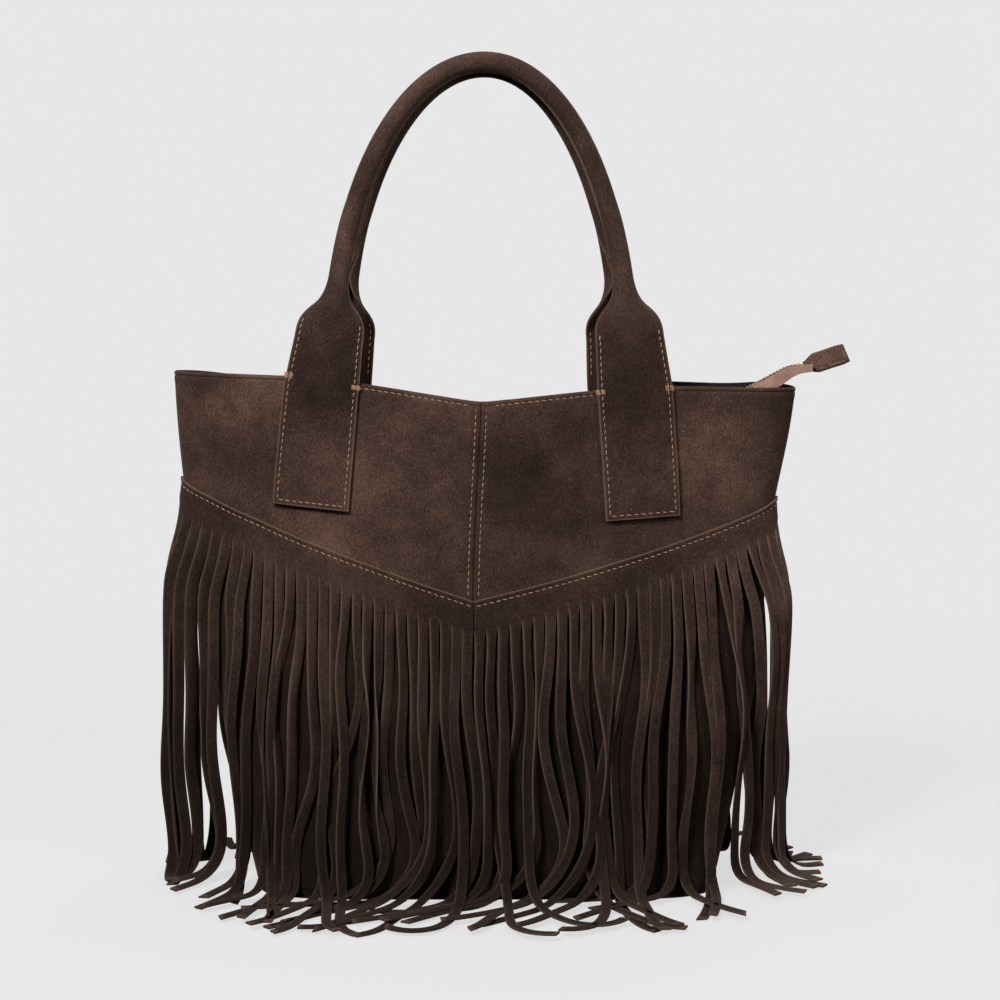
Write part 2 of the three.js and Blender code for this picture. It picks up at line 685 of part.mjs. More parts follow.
function bottomStop() {
  const height = zip.chainHeight / 2 + GAP;
  return tailBlock(
    "zip_bottom_stop", zip.tailEndX - 7,
    [0, -zip.chainHalfGap - zip.chainWidth, height], [4, zip.chainHalfGap + zip.chainWidth, height + 0.9],
    materials.metal,
  );
}

// ---------- the object ----------
const tote = new THREE.Group();
const lastStation = wallStations.length - 1;
for (const [face, side] of [["front", -1], ["back", 1]]) {
  tote.add(
    yokePanel(`${face}_yoke_left`, side, 0, middleStation),
    yokePanel(`${face}_yoke_right`, side, middleStation, lastStation),
    lowerPanel(`${face}_lower_panel`, side),
    fringePanel(`${face}_fringe_left`, side, true),
    fringePanel(`${face}_fringe_right`, side, false),
    facingPanel(`${face}_top_facing`, side),
    sewnTab(`${face}_handle_tab_left`, side, -1),
    sewnTab(`${face}_handle_tab_right`, side, 1),
    handleCover(`${face}_handle_cover`, side),
    handleCore(`${face}_handle_core`, side),
    zipTape(`zip_tape_${face}`, side),
    zipTeeth(`zip_teeth_${face}`, side),
    topStop(`zip_top_stop_${face}`, side),
  );
}
const boardZ = suede.base + GAP;
tote.add(
  plate("base_panel", baseOutline(0), 0, suede.base, materials.suede),
  plate("base_board", baseOutline(base.boardInset), boardZ, boardZ + base.boardThickness, materials.board),
  liningBag(),
  await zipSlider(),
  zipPull(),
  zipEndTab(),
  bottomStop(),
);

export default tote;
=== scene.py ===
import json
import math
import random

import bmesh
import bpy
import numpy as np
from mathutils import Matrix, Vector

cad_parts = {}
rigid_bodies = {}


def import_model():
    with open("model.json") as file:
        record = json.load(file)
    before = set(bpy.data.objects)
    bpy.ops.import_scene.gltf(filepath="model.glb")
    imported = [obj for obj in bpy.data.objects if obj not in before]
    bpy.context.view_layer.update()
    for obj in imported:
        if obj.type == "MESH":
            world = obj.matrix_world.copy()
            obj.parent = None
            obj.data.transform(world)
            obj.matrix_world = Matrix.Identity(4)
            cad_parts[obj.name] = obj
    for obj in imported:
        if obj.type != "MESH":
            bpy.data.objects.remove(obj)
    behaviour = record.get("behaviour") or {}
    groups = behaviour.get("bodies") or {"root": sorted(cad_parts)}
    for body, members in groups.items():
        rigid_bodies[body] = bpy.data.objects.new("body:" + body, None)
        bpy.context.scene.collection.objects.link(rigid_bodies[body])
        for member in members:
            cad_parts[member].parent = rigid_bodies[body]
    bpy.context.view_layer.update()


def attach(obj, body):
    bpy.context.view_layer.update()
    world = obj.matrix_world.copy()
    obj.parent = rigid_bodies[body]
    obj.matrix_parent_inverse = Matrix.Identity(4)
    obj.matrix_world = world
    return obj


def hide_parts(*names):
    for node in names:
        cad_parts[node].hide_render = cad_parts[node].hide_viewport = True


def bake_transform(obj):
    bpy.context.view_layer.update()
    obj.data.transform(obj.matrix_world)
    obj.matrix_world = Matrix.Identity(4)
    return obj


mm = 0.001
oneTurn = 6.28  # radians, near enough for waves

for leftOver in list(bpy.data.objects):
    bpy.data.objects.remove(leftOver)
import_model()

# all shapes below are in millimetres, and become metres when a mesh is made
bagShape = {
    "topHalfWidth": 200.0,
    "baseHalfWidth": 146.0,
    "mouthHalfDepth": 35.0,
    "baseHalfDepth": 62.0,
    "height": 331.0,
    "widthCurve": 1.6,
    "depthCurve": 1.15,
    "rightCornerDrop": 11.0,
    "edgeSag": 13.5,
    "sagAlong": 0.493,
    "sagReach": 0.27,
    "backDrop": 6.0,
    "backCornerLift": 2.2,
    "rightDrawnIn": 0.042,
    "drawnInHeight": 228,
    "seamLeft": 263.0,
    "seamRight": 250.0,
    "seamVertex": 188.5,
    "vertexAlong": 0.481,
    "seamTopAlong": 0.494,
    "seamBow": 3.0,
    "thickness": 1.6,
}


def smooth(x, low, high):
    t = np.clip((np.asarray(x, float) - low) / (high - low), 0, 1)
    return t * t * (3 - 2 * t)


def bump(x, centre, width):
    return np.exp(-(((np.asarray(x, float) - centre) / width) ** 2))


def runOf(steps):  # distance run at each point of a line
    return np.concatenate([[0], np.cumsum(steps)])


def lineRun(line):
    return runOf(np.linalg.norm(np.diff(line, axis=0), axis=1))


def section(z):
    # half width, half depth and squareness of the bag at a height
    bs = bagShape
    t = np.clip(np.asarray(z, float) / bs["height"], 0, 1)
    a = bs["baseHalfWidth"] + (bs["topHalfWidth"] - bs["baseHalfWidth"]) * (1 - (1 - t) ** bs["widthCurve"])
    b = bs["mouthHalfDepth"] + (bs["baseHalfDepth"] - bs["mouthHalfDepth"]) * (1 - t ** bs["depthCurve"])
    return a, b, 2 + 4 * (1 - t) ** 3


def depthAt(x, z):
    a, b, n = section(z)
    return b * np.clip(1 - np.abs(np.asarray(x, float) / a) ** n, 0, 1) ** (1 / n)


# the front half of the outline at many heights, evenly spaced along the cloth from seam to seam
levelStep, alongSteps = 3.0, 400
levels = np.arange(0, 349, levelStep)
alongs = np.linspace(0, 1, alongSteps + 1)
wallX, wallY, wallNx, wallNy, wallTotal = [], [], [], [], []
for level in levels:
    a, b, n = section(level)
    turn = np.linspace(0, math.pi, 1601)
    x = -a * np.sign(np.cos(turn)) * np.abs(np.cos(turn)) ** (2 / n)
    y = -b * np.sin(turn) ** (2 / n)
    run = runOf(np.hypot(np.diff(x), np.diff(y)))
    x, y = np.interp(alongs * run[-1], run, x), np.interp(alongs * run[-1], run, y)
    dx, dy = np.gradient(x), np.gradient(y)
    size = np.hypot(dx, dy)
    wallX.append(x), wallY.append(y), wallNx.append(dy / size), wallNy.append(-dx / size)
    wallTotal.append(run[-1])
wallX, wallY, wallNx, wallNy = map(np.array, (wallX, wallY, wallNx, wallNy))
wallTotal = np.array(wallTotal)

# the bag's right side draws in a little more than its left below the mouth
drawnIn = bagShape["rightDrawnIn"] * np.exp(-(((levels - bagShape["drawnInHeight"]) / 62) ** 2))[:, None]
wallX = wallX * (1 - drawnIn * (wallX > 0) * np.abs(wallX / 200) ** 0.5)


def totalAt(z):
    return np.interp(z, levels, wallTotal)


def sample(table, along, z):
    row = np.clip(np.asarray(z, float) / levelStep, 0, len(levels) - 1.001)
    col = np.clip(np.asarray(along, float), 0, 1) * alongSteps
    col = np.minimum(col, alongSteps - 1e-6)
    r, c = row.astype(int), col.astype(int)
    fr, fc = row - r, col - c
    low = table[r, c] * (1 - fc) + table[r, c + 1] * fc
    high = table[r + 1, c] * (1 - fc) + table[r + 1, c + 1] * fc
    return low * (1 - fr) + high * fr


def topEdge(along, face="front"):
    # the mouth's edge dips towards the centre seam, and the back one hangs a little lower
    bs = bagShape
    away = np.sqrt((np.asarray(along, float) - bs["sagAlong"]) ** 2 + 0.0002)
    dip = bs["edgeSag"] * np.clip(1 - away / bs["sagReach"], 0, 1) ** 1.25
    if face == "back":
        dip = dip + bs["backDrop"] * smooth(along, 0.02, 0.2) * (1 - smooth(along, 0.66, 0.8))
        dip = dip - bs["backCornerLift"] * bump(along, 0.945, 0.045)
    return bs["height"] - bs["rightCornerDrop"] * along - dip


def chevron(along):
    bs, v = bagShape, bagShape["vertexAlong"]
    left = bs["seamLeft"] + (bs["seamVertex"] - bs["seamLeft"]) * along / v
    right = bs["seamVertex"] + (bs["seamRight"] - bs["seamVertex"]) * (along - v) / (1 - v)
    bow = bs["seamBow"] * np.sin(math.pi * np.where(along < v, along / v, (along - v) / (1 - v)))
    return np.where(along < v, left, right) - bow


def centreSeam(z):
    bs = bagShape
    rise = smooth(z, bs["seamVertex"], bs["height"])
    return bs["vertexAlong"] + (bs["seamTopAlong"] - bs["vertexAlong"]) * rise


# soft hollows and swells in the cloth: x, z, half width, half height, lean in degrees, depth
swells = {
    "front": [
        (27, 268, 9, 46, 33, -3.4),
        (8, 243, 9, 34, 33, 1.8),
        (16, 302, 7, 17, 10, -2.4),
        (52, 288, 20, 26, 30, 2.2),
        (70, 222, 12, 40, 64, -2.2),
        (-30, 282, 10, 34, -20, -1.6),
        (-58, 214, 12, 44, -62, -2.0),
        (-52, 262, 24, 26, 0, 1.8),
        (-158, 290, 24, 30, 10, 2.0),
        (-140, 236, 12, 36, -60, -1.8),
        (-178, 262, 10, 30, 12, -1.4),
        (150, 290, 12, 40, 24, -2.2),
        (128, 262, 12, 34, 24, 1.6),
        (168, 262, 14, 30, -12, 1.6),
        (0, 316, 14, 6, 0, -1.8),
        (18, 313, 5, 9, 0, 1.4),
    ],
    "back": [
        (-24, 270, 10, 44, -30, -3.0),
        (-56, 286, 20, 26, -30, 2.0),
        (-70, 222, 12, 40, -62, -2.0),
        (60, 216, 13, 42, 62, -1.8),
        (46, 270, 24, 26, 0, 1.7),
        (150, 284, 26, 30, 10, 2.0),
        (-150, 262, 24, 30, -10, 1.7),
    ],
}


def spots(areas, x, z):  # the sum of soft leaning ovals
    total = np.zeros(np.broadcast(x, z).shape)
    for cx, cz, rx, rz, lean, amount in areas:
        c, q = math.cos(math.radians(lean)), math.sin(math.radians(lean))
        oval = amount * bump((x - cx) * c + (z - cz) * q, 0, rx)
        total = total + oval * bump((z - cz) * c - (x - cx) * q, 0, rz)
    return total


def relief(face, along, x, z):
    ripple = np.sin(x / 17.0 + z / 23.0) * np.sin(z / 19.0 - x / 41.0 + (0 if face == "front" else 2))
    out = spots(swells[face], x, z) + 0.6 * ripple
    fade = smooth(along, 0, 0.06) * smooth(1 - np.asarray(along), 0, 0.06) * smooth(z, 20, 90)
    return out * fade


# areas of changed tone, partly where the nap lies the other way and partly painted shade in the hollows and
# painted light on the swells and the far right: x, z, half width, half height, lean in degrees, change of tone
napAndShadeAreas = {
    "front": [
        (22, 250, 26, 64, 30, -0.54),
        (40, 300, 26, 22, 0, -0.2),
        (146, 286, 34, 40, 0, 0.36),
        (-168, 292, 26, 34, 0, 0.2),
        (-128, 246, 16, 30, -50, -0.2),
        (-40, 226, 26, 44, -62, -0.16),
        (70, 226, 20, 44, 60, -0.16),
    ],
    "back": [
        (-60, 270, 40, 40, 20, 0.22),
        (50, 260, 30, 50, -30, -0.25),
        (140, 285, 34, 34, 0, 0.2),
        (-150, 262, 26, 40, 0, -0.2),
    ],
}


def outwardAt(along, z):
    nx, ny = sample(wallNx, along, z), sample(wallNy, along, z)
    size = np.hypot(nx, ny)
    return nx / size, ny / size


def place(face, along, z, out=0.0, plain=False):
    # points on a face of the bag: how far along the cloth, how high and how far out of it
    along, z, out = np.broadcast_arrays(*(np.asarray(values, float) for values in (along, z, out)))
    x, y = sample(wallX, along, z), sample(wallY, along, z)
    nx, ny = outwardAt(along, z)
    push = out if plain else out + relief(face, along, x, z)
    px = x + nx * push
    py = np.minimum(y + ny * push, -0.25)
    if face == "back":
        py = -py
    return np.stack([px, py, z], -1)


def facing(face, along, z):
    nx, ny = outwardAt(along, z)
    return np.stack([nx, ny if face == "front" else -ny, np.zeros_like(nx)], -1)


def alongOf(x, z):
    z = np.broadcast_to(np.asarray(z, float), np.shape(x)).ravel()
    flat = []
    for px, pz in zip(np.ravel(x), z):
        row = min(max(pz / levelStep, 0), len(levels) - 1.001)
        r = int(row)
        low = np.interp(px, wallX[r], alongs)
        high = np.interp(px, wallX[r + 1], alongs)
        flat.append(low + (high - low) * (row - r))
    return np.array(flat).reshape(np.shape(x))


def newFinish(name, sockets):
    finish = bpy.data.materials.new(name)
    finish.use_nodes = True
    tree = finish.node_tree
    tree.nodes.clear()
    out = tree.nodes.new("ShaderNodeOutputMaterial")
    shader = tree.nodes.new("ShaderNodeBsdfPrincipled")
    tree.links.new(shader.outputs[0], out.inputs[0])
    for label, value in sockets.items():
        shader.inputs[label].default_value = value
    return finish, tree, shader


def noiseNode(tree, coords, scale, detail=2.0, rough=0.5):
    node = tree.nodes.new("ShaderNodeTexNoise")
    node.inputs["Scale"].default_value = scale
    node.inputs["Detail"].default_value = detail
    node.inputs["Roughness"].default_value = rough
    tree.links.new(coords, node.inputs["Vector"])
    return node.outputs["Fac"]


def mathNode(tree, kind, a, b):
    node = tree.nodes.new("ShaderNodeMath")
    node.operation = kind
    for socket, value in zip(node.inputs, (a, b)):
        if isinstance(value, (int, float)):
            socket.default_value = value
        else:
            tree.links.new(value, socket)
    return node.outputs[0]


def rampNode(tree, value, stops):
    node = tree.nodes.new("ShaderNodeValToRGB")
    while len(node.color_ramp.elements) < len(stops):
        node.color_ramp.elements.new(0.5)
    for element, (where, colour) in zip(node.color_ramp.elements, stops):
        element.position = where
        element.color = (*colour, 1)
    tree.links.new(value, node.inputs[0])
    return node.outputs[0]


def mixNode(tree, share, a, b):
    node = tree.nodes.new("ShaderNodeMix")
    node.data_type = "RGBA"
    for socket, value in ((node.inputs[0], share), (node.inputs[6], a), (node.inputs[7], b)):
        if isinstance(value, (int, float)):
            socket.default_value = value
        elif isinstance(value, tuple):
            socket.default_value = (*value, 1)
        else:
            tree.links.new(value, socket)
    return node.outputs[2]


def rangeNode(tree, value, low, high, atLow, atHigh):
    node = tree.nodes.new("ShaderNodeMapRange")
    node.interpolation_type = "SMOOTHSTEP"
    for socket, number in zip(list(node.inputs)[1:5], (low, high, atLow, atHigh)):
        socket.default_value = number
    tree.links.new(value, node.inputs["Value"])
    return node.outputs["Result"]


def attributeNode(tree, label):
    node = tree.nodes.new("ShaderNodeAttribute")
    node.attribute_name = label
    return node.outputs["Fac"]


def bumpNode(tree, height, strength, distance, under=None):
    node = tree.nodes.new("ShaderNodeBump")
    node.inputs["Strength"].default_value = strength
    node.inputs["Distance"].default_value = distance
    tree.links.new(height, node.inputs["Height"])
    if under is not None:
        tree.links.new(under, node.inputs["Normal"])
    return node.outputs[0]


def objectCoords(tree, scale=(1, 1, 1)):
    coords = tree.nodes.new("ShaderNodeTexCoord")
    mapping = tree.nodes.new("ShaderNodeMapping")
    mapping.inputs["Scale"].default_value = scale
    tree.links.new(coords.outputs["Object"], mapping.inputs["Vector"])
    return mapping.outputs[0]


suedeLook = {
    "dark": (0.0120, 0.0066, 0.0050),
    "middle": (0.043, 0.0236, 0.0172),
    "light": (0.112, 0.064, 0.047),
    "speck": (0.16, 0.095, 0.065),
    "rawEdge": (0.17, 0.108, 0.078),
    "rawEdgeShare": 0.8,
    "scales": {"brushed": 15, "mottle": 75, "tufts": 620, "fibres": 1500, "lint": 950},
    "weights": {"brushed": 1.0, "mottle": 0.5, "tufts": 0.2, "fibres": 1.35},
    "napStretch": 0.45,
    # heights in metres over which the painted shade towards the floor comes in
    "paintedShadeBelow": (0.02, 0.235),
    "shader": {
        "Roughness": 0.96,
        "Specular IOR Level": 0.12,
        "Sheen Weight": 0.12,
        "Sheen Roughness": 0.45,
        "Sheen Tint": (0.75, 0.50, 0.40, 1),
    },
}


def suedeFinish(name, shade=1.0, patches=1.0, low=1.0):
    look = suedeLook
    finish, tree, shader = newFinish(name, look["shader"])
    plain = objectCoords(tree)
    upright = objectCoords(tree, (1, 1, look["napStretch"]))  # the nap is brushed up and down
    brushed = noiseNode(tree, plain, look["scales"]["brushed"], 2, 0.5)
    mottle = noiseNode(tree, plain, look["scales"]["mottle"], 4, 0.6)
    tufts = noiseNode(tree, upright, look["scales"]["tufts"], 3, 0.65)
    fibres = noiseNode(tree, upright, look["scales"]["fibres"], 2, 0.75)
    weights = [weight * (patches if label == "brushed" else 1) for label, weight in look["weights"].items()]
    value = 0.5
    for layer, weight in zip((brushed, mottle, tufts, fibres), weights):
        layer = mathNode(tree, "MULTIPLY", mathNode(tree, "SUBTRACT", layer, 0.5), weight)
        value = mathNode(tree, "ADD", layer, value)
    stops = [(0.12, "dark"), (0.5, "middle"), (0.92, "light")]
    colour = rampNode(tree, value, [(at, tuple(c * shade for c in look[label])) for at, label in stops])
    lint = noiseNode(tree, plain, look["scales"]["lint"], 0, 0.5)
    specks = rampNode(tree, lint, [(0.80, (0, 0, 0)), (0.84, (0.6, 0.6, 0.6))])
    colour = mixNode(tree, specks, colour, look["speck"])
    # the shade attribute: nap tone together with painted light and shade
    tone = mathNode(tree, "ADD", attributeNode(tree, "shade"), 1.0)
    cut = mathNode(tree, "MULTIPLY", attributeNode(tree, "edge"), look["rawEdgeShare"])
    if low < 1:  # painted shade: darker towards the floor, raw edges as well
        height = tree.nodes.new("ShaderNodeSeparateXYZ")
        tree.links.new(plain, height.inputs[0])
        fall = rangeNode(tree, height.outputs["Z"], *look["paintedShadeBelow"], low, 1.0)
        tone = mathNode(tree, "MULTIPLY", tone, fall)
        cut = mathNode(tree, "MULTIPLY", cut, mathNode(tree, "ADD", mathNode(tree, "MULTIPLY", fall, 0.7), 0.3))
    toned = tree.nodes.new("ShaderNodeVectorMath")
    toned.operation = "SCALE"
    tree.links.new(colour, toned.inputs[0])
    tree.links.new(tone, toned.inputs["Scale"])
    rough = mixNode(tree, fibres, tuple(c * 0.5 for c in look["rawEdge"]), look["rawEdge"])
    tree.links.new(mixNode(tree, cut, toned.outputs[0], rough), shader.inputs["Base Color"])
    normal = None
    for layer, strength, distance in ((fibres, 0.5, 0.0003), (tufts, 0.3, 0.0005), (mottle, 0.3, 0.0014)):
        normal = bumpNode(tree, layer, strength, distance, normal)
    tree.links.new(normal, shader.inputs["Normal"])
    return finish


def threadFinish(name, colour):
    sockets = {"Roughness": 0.7, "Specular IOR Level": 0.3, "Sheen Weight": 0.2}
    finish, tree, shader = newFinish(name, sockets)
    coords = objectCoords(tree)
    twist = noiseNode(tree, coords, 2600, 1, 0.5)
    tone = mixNode(tree, twist, tuple(c * 0.55 for c in colour), tuple(min(1, c * 1.35) for c in colour))
    tree.links.new(tone, shader.inputs["Base Color"])
    tree.links.new(bumpNode(tree, twist, 0.5, 0.0002), shader.inputs["Normal"])
    return finish


def clothFinish(name, dark, light, pitch):
    finish, tree, shader = newFinish(name, {"Roughness": 0.85, "Specular IOR Level": 0.2})
    coords = objectCoords(tree)
    waves = []
    for direction in ("X", "Z"):
        wave = tree.nodes.new("ShaderNodeTexWave")
        wave.bands_direction = direction
        wave.inputs["Scale"].default_value = 1 / (pitch * mm) / 3.2
        wave.inputs["Distortion"].default_value = 0.6
        tree.links.new(coords, wave.inputs["Vector"])
        waves.append(wave.outputs["Fac"])
    weave = mathNode(tree, "MULTIPLY", waves[0], waves[1])
    cloud = noiseNode(tree, coords, 120, 3, 0.6)
    tone = mathNode(tree, "ADD", mathNode(tree, "MULTIPLY", weave, 0.5), mathNode(tree, "MULTIPLY", cloud, 0.5))
    tree.links.new(rampNode(tree, tone, [(0.15, dark), (0.7, light)]), shader.inputs["Base Color"])
    tree.links.new(bumpNode(tree, weave, 0.5, 0.0003), shader.inputs["Normal"])
    return finish


def metalFinish(name, dark, light):
    finish, tree, shader = newFinish(name, {"Metallic": 1.0})
    coords = objectCoords(tree)
    wear = noiseNode(tree, coords, 260, 4, 0.6)
    scratches = noiseNode(tree, objectCoords(tree, (1, 1, 12)), 500, 2, 0.5)
    tree.links.new(rampNode(tree, wear, [(0.3, dark), (0.7, light)]), shader.inputs["Base Color"])
    roughness = mathNode(tree, "ADD", mathNode(tree, "MULTIPLY", scratches, 0.3), 0.22)
    tree.links.new(roughness, shader.inputs["Roughness"])
    tree.links.new(bumpNode(tree, scratches, 0.15, 0.0001), shader.inputs["Normal"])
    return finish


suede = suedeFinish("brownSuede")
# painted shade: a darker copy of the suede for the fringe, darker still towards the floor
fringeSuede = suedeFinish("fringeSuede", 0.62, 0.8, 0.38)
handleSuede = suedeFinish("handleSuede", 0.85, 0.7)
# painted shade: a near-black copy of the suede for the lower panels and base, standing in for the shadow behind
# the fringe
backingSuede = suedeFinish("backingSuede", 0.30, 0.5, 0.6)
tanThread = threadFinish("tanThread", (0.36, 0.215, 0.135))
tackThread = threadFinish("tackThread", (0.33, 0.165, 0.092))
brownThread = threadFinish("brownThread", (0.17, 0.10, 0.07))
blackCloth = clothFinish("blackCloth", (0.004, 0.004, 0.004), (0.014, 0.013, 0.013), 0.5)
tanTape = clothFinish("tanTape", (0.15, 0.082, 0.060), (0.34, 0.205, 0.155), 0.7)
agedBrass = metalFinish("agedBrass", (0.20, 0.15, 0.09), (0.44, 0.35, 0.22))
print("finishes made")


def meshPiece(name, points, faces, finish, edge=None, merge=0.0, sharp=50, shade=None):
    # edge marks raw cut suede and shade changes its tone (nap tone together with painted light and shade), both
    # for each point
    mesh = bpy.data.meshes.new(name)
    mesh.from_pydata((np.asarray(points, float) * mm).tolist(), [], faces)
    for label, values in (("edge", edge), ("shade", shade)):
        if values is not None:
            mesh.attributes.new(label, "FLOAT", "POINT").data.foreach_set("value", np.asarray(values, np.float32))
    bm = bmesh.new()
    bm.from_mesh(mesh)
    if merge:
        bmesh.ops.remove_doubles(bm, verts=bm.verts, dist=merge * mm)
    bmesh.ops.recalc_face_normals(bm, faces=bm.faces)
    bm.to_mesh(mesh)
    bm.free()
    mesh.shade_smooth()
    mesh.set_sharp_from_angle(angle=math.radians(sharp))
    mesh.materials.append(finish)
    piece = bpy.data.objects.new(name, mesh)
    bpy.context.scene.collection.objects.link(piece)
    return piece


def ringFaces(pairs, around, base=0):  # quads between numbered rings of points
    faces = []
    for low, high in pairs:
        for k in range(around):
            after, a, b = (k + 1) % around, base + low * around, base + high * around
            faces.append([a + k, a + after, b + after, b + k])
    return faces


def sheetFaces(rows, cols, ring=False):  # both faces and the rim of a sheet, from its two grids of points
    grid = np.arange(rows * cols).reshape(rows, cols)
    inner = grid + rows * cols
    faces = []

    def quads(a, b, c, d):
        faces.extend(np.stack([np.ravel(a), np.ravel(b), np.ravel(c), np.ravel(d)], -1).tolist())

    right = np.roll(grid, -1, 1) if ring else grid[:, 1:]
    left = grid if ring else grid[:, :-1]
    rightIn, leftIn = right + rows * cols, left + rows * cols
    quads(left[:-1], right[:-1], right[1:], left[1:])
    quads(leftIn[:-1], leftIn[1:], rightIn[1:], rightIn[:-1])
    quads(left[0], leftIn[0], rightIn[0], right[0])
    quads(left[-1], right[-1], rightIn[-1], leftIn[-1])
    if not ring:
        quads(grid[:-1, 0], grid[1:, 0], inner[1:, 0], inner[:-1, 0])
        quads(grid[:-1, -1], inner[:-1, -1], inner[1:, -1], grid[1:, -1])
    return faces


def rawEdges(rows, cols, sides):
    marks = np.zeros((rows, cols))
    for near, mark in ((1, 0.6), (0, 1.0)):
        far = -1 - near
        sideRows = {"top": np.s_[near], "bottom": np.s_[far], "left": np.s_[:, near], "right": np.s_[:, far]}
        for side in sides:
            marks[sideRows[side]] = mark
    return np.concatenate([marks.ravel(), marks.ravel()])


def sheetPiece(name, outer, inner, finish, cut=(), shade=None):
    rows, cols = outer.shape[:2]
    points = np.concatenate([outer.reshape(-1, 3), inner.reshape(-1, 3)])
    if shade is not None:
        shade = np.concatenate([shade.ravel(), shade.ravel()])
    return meshPiece(name, points, sheetFaces(rows, cols), finish, rawEdges(rows, cols, cut), shade=shade)


yokeMake = {
    "underlap": 8.0,
    "seamGap": 0.1,
    "nearRows": [0, 0.35, 0.9, 1.6, 2.3, 2.9, 3.5, 4.3, 6, 8.5, 12],
    "nearCols": [0, 0.35, 0.8, 1.4, 2.1, 2.8, 3.4, 4.1, 5.2, 7, 9.5, 13],
    "stitchIn": 2.9,
    "seamStitchIn": 3.3,
}


def turnedEdge(d):  # the mouth's edge is turned in and sewn down
    groove = 0.4 * bump(d, yokeMake["stitchIn"], 0.5)
    return -0.75 * bump(d, 0, 0.6) + 0.35 * bump(d, 1.5, 0.9) - groove + 0.3 * bump(d, 5, 2)


def sewnSeam(e):
    groove = 0.4 * bump(e, yokeMake["seamStitchIn"], 0.5)
    return -0.9 * bump(e, 0, 0.5) + 0.45 * bump(e, 1.7, 1) - groove + 0.5 * bump(e, 6, 2.6)


def yokePlaces(face, onLeft):
    # rows run down from the mouth and columns out from the centre seam, closer together near both
    near, nearRows = np.array(yokeMake["nearCols"]), np.array(yokeMake["nearRows"])
    share, shareRows = np.linspace(0, 1, 62)[1:], np.linspace(0, 1, 40)[1:]
    rows, cols = len(nearRows) + len(shareRows), len(near) + len(share)
    z = np.full((rows, cols), 270.0)
    for _ in range(4):
        middle, total = centreSeam(z), totalAt(z)
        reach = (middle if onLeft else 1 - middle) * total
        e = np.empty_like(z)
        e[:, : len(near)] = near
        e[:, len(near) :] = near[-1] + (reach[:, len(near) :] - near[-1]) * share
        e[:, 0] = yokeMake["seamGap"]
        along = middle - e / total if onLeft else middle + e / total
        fall = topEdge(along, face) - (chevron(along) - yokeMake["underlap"])
        d = np.empty_like(z)
        d[: len(nearRows)] = nearRows[:, None]
        d[len(nearRows) :] = nearRows[-1] + (fall[len(nearRows) :] - nearRows[-1]) * shareRows[:, None]
        z = topEdge(along, face) - d
    return along, z, d, e


def makeYoke(face, onLeft):
    name = f"{face}YokeLeft" if onLeft else f"{face}YokeRight"
    along, z, d, e = yokePlaces(face, onLeft)
    out = turnedEdge(d) + sewnSeam(e)
    outer = place(face, along, z, out)
    inner = place(face, along, z, np.minimum(out, 0) * 0.3 - bagShape["thickness"])
    # nap tone together with painted shade in the hollows and painted light on the swells
    brushed = spots(napAndShadeAreas[face], outer[..., 0], outer[..., 2])
    piece = sheetPiece(name, outer, inner, suede, ("bottom",), brushed)
    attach(piece, "bag")
    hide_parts(f"{face}_yoke_{'left' if onLeft else 'right'}")


lowerMake = {"cols": 150, "rows": 44, "bottom": 2.2}


def makeLowerPanel(face):
    along = np.linspace(0, 1, lowerMake["cols"])[None, :]
    share = np.linspace(0, 1, lowerMake["rows"])[:, None]
    top = chevron(along) - yokeMake["underlap"] - 0.5
    z = top + (lowerMake["bottom"] - top) * share
    along = np.broadcast_to(along, z.shape)
    tuck = -0.8 * bump(z, lowerMake["bottom"], 2.0)
    piece = sheetPiece(
        f"{face}LowerPanel",
        place(face, along, z, tuck),
        place(face, along, z, -bagShape["thickness"]),
        backingSuede,
    )
    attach(piece, "bag")
    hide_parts(f"{face}_lower_panel")


def makeBase():
    half = [place(face, alongs[::4], np.zeros(101), 0, plain=True) for face in ("front", "back")]
    rim = np.concatenate([half[0][:-1], half[1][::-1][:-1]])
    rings = []
    for scale, low in ((0.985, 0.0), (1.0, 0.7), (1.0, 1.4), (0.97, 2.0), (0.5, 2.0), (0.02, 2.0)):
        rings.append(rim * (scale, scale, 0) + (0, 0, low))
    for scale in (0.02, 0.5):
        rings.append(rim * (scale, scale, 0))
    count, total, last = len(rim), len(rings), 5  # ring 5 closes the upper side and ring 6 the underside
    faces = ringFaces([(r, (r + 1) % total) for r in range(total) if r != last], count)
    faces.append(list(range(last * count, (last + 1) * count)))
    faces.append(list(range((last + 1) * count, (last + 2) * count))[::-1])
    piece = meshPiece("basePanel", np.concatenate(rings), faces, backingSuede)
    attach(piece, "bag")
    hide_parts("base_panel", "base_board")


for faceName in ("front", "back"):
    makeLowerPanel(faceName)
    makeYoke(faceName, True)
    makeYoke(faceName, False)
makeBase()
print("shell made")


insideMake = {
    "facingHeight": 34.0,
    "facingGap": 0.4,
    "facingThickness": 1.0,
    "layerGap": 0.5,
    "liningThickness": 0.7,
    "liningFloor": 5.6,
    "liningSlack": 2.6,
}


def makeFacing(face):
    along = np.linspace(0.012, 0.988, 150)[None, :]
    d = np.array([0, 0.5, 1.2, 3, 7, 12, 18, 25, insideMake["facingHeight"]])[:, None]
    z = topEdge(along, face) - insideMake["facingGap"] - d
    along = np.broadcast_to(along, z.shape)
    out = -bagShape["thickness"] - insideMake["layerGap"]
    piece = sheetPiece(
        f"{face}TopFacing",
        place(face, along, z, out),
        place(face, along, z, out - insideMake["facingThickness"]),
        blackCloth,
    )
    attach(piece, "bag")
    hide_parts(f"{face}_top_facing")


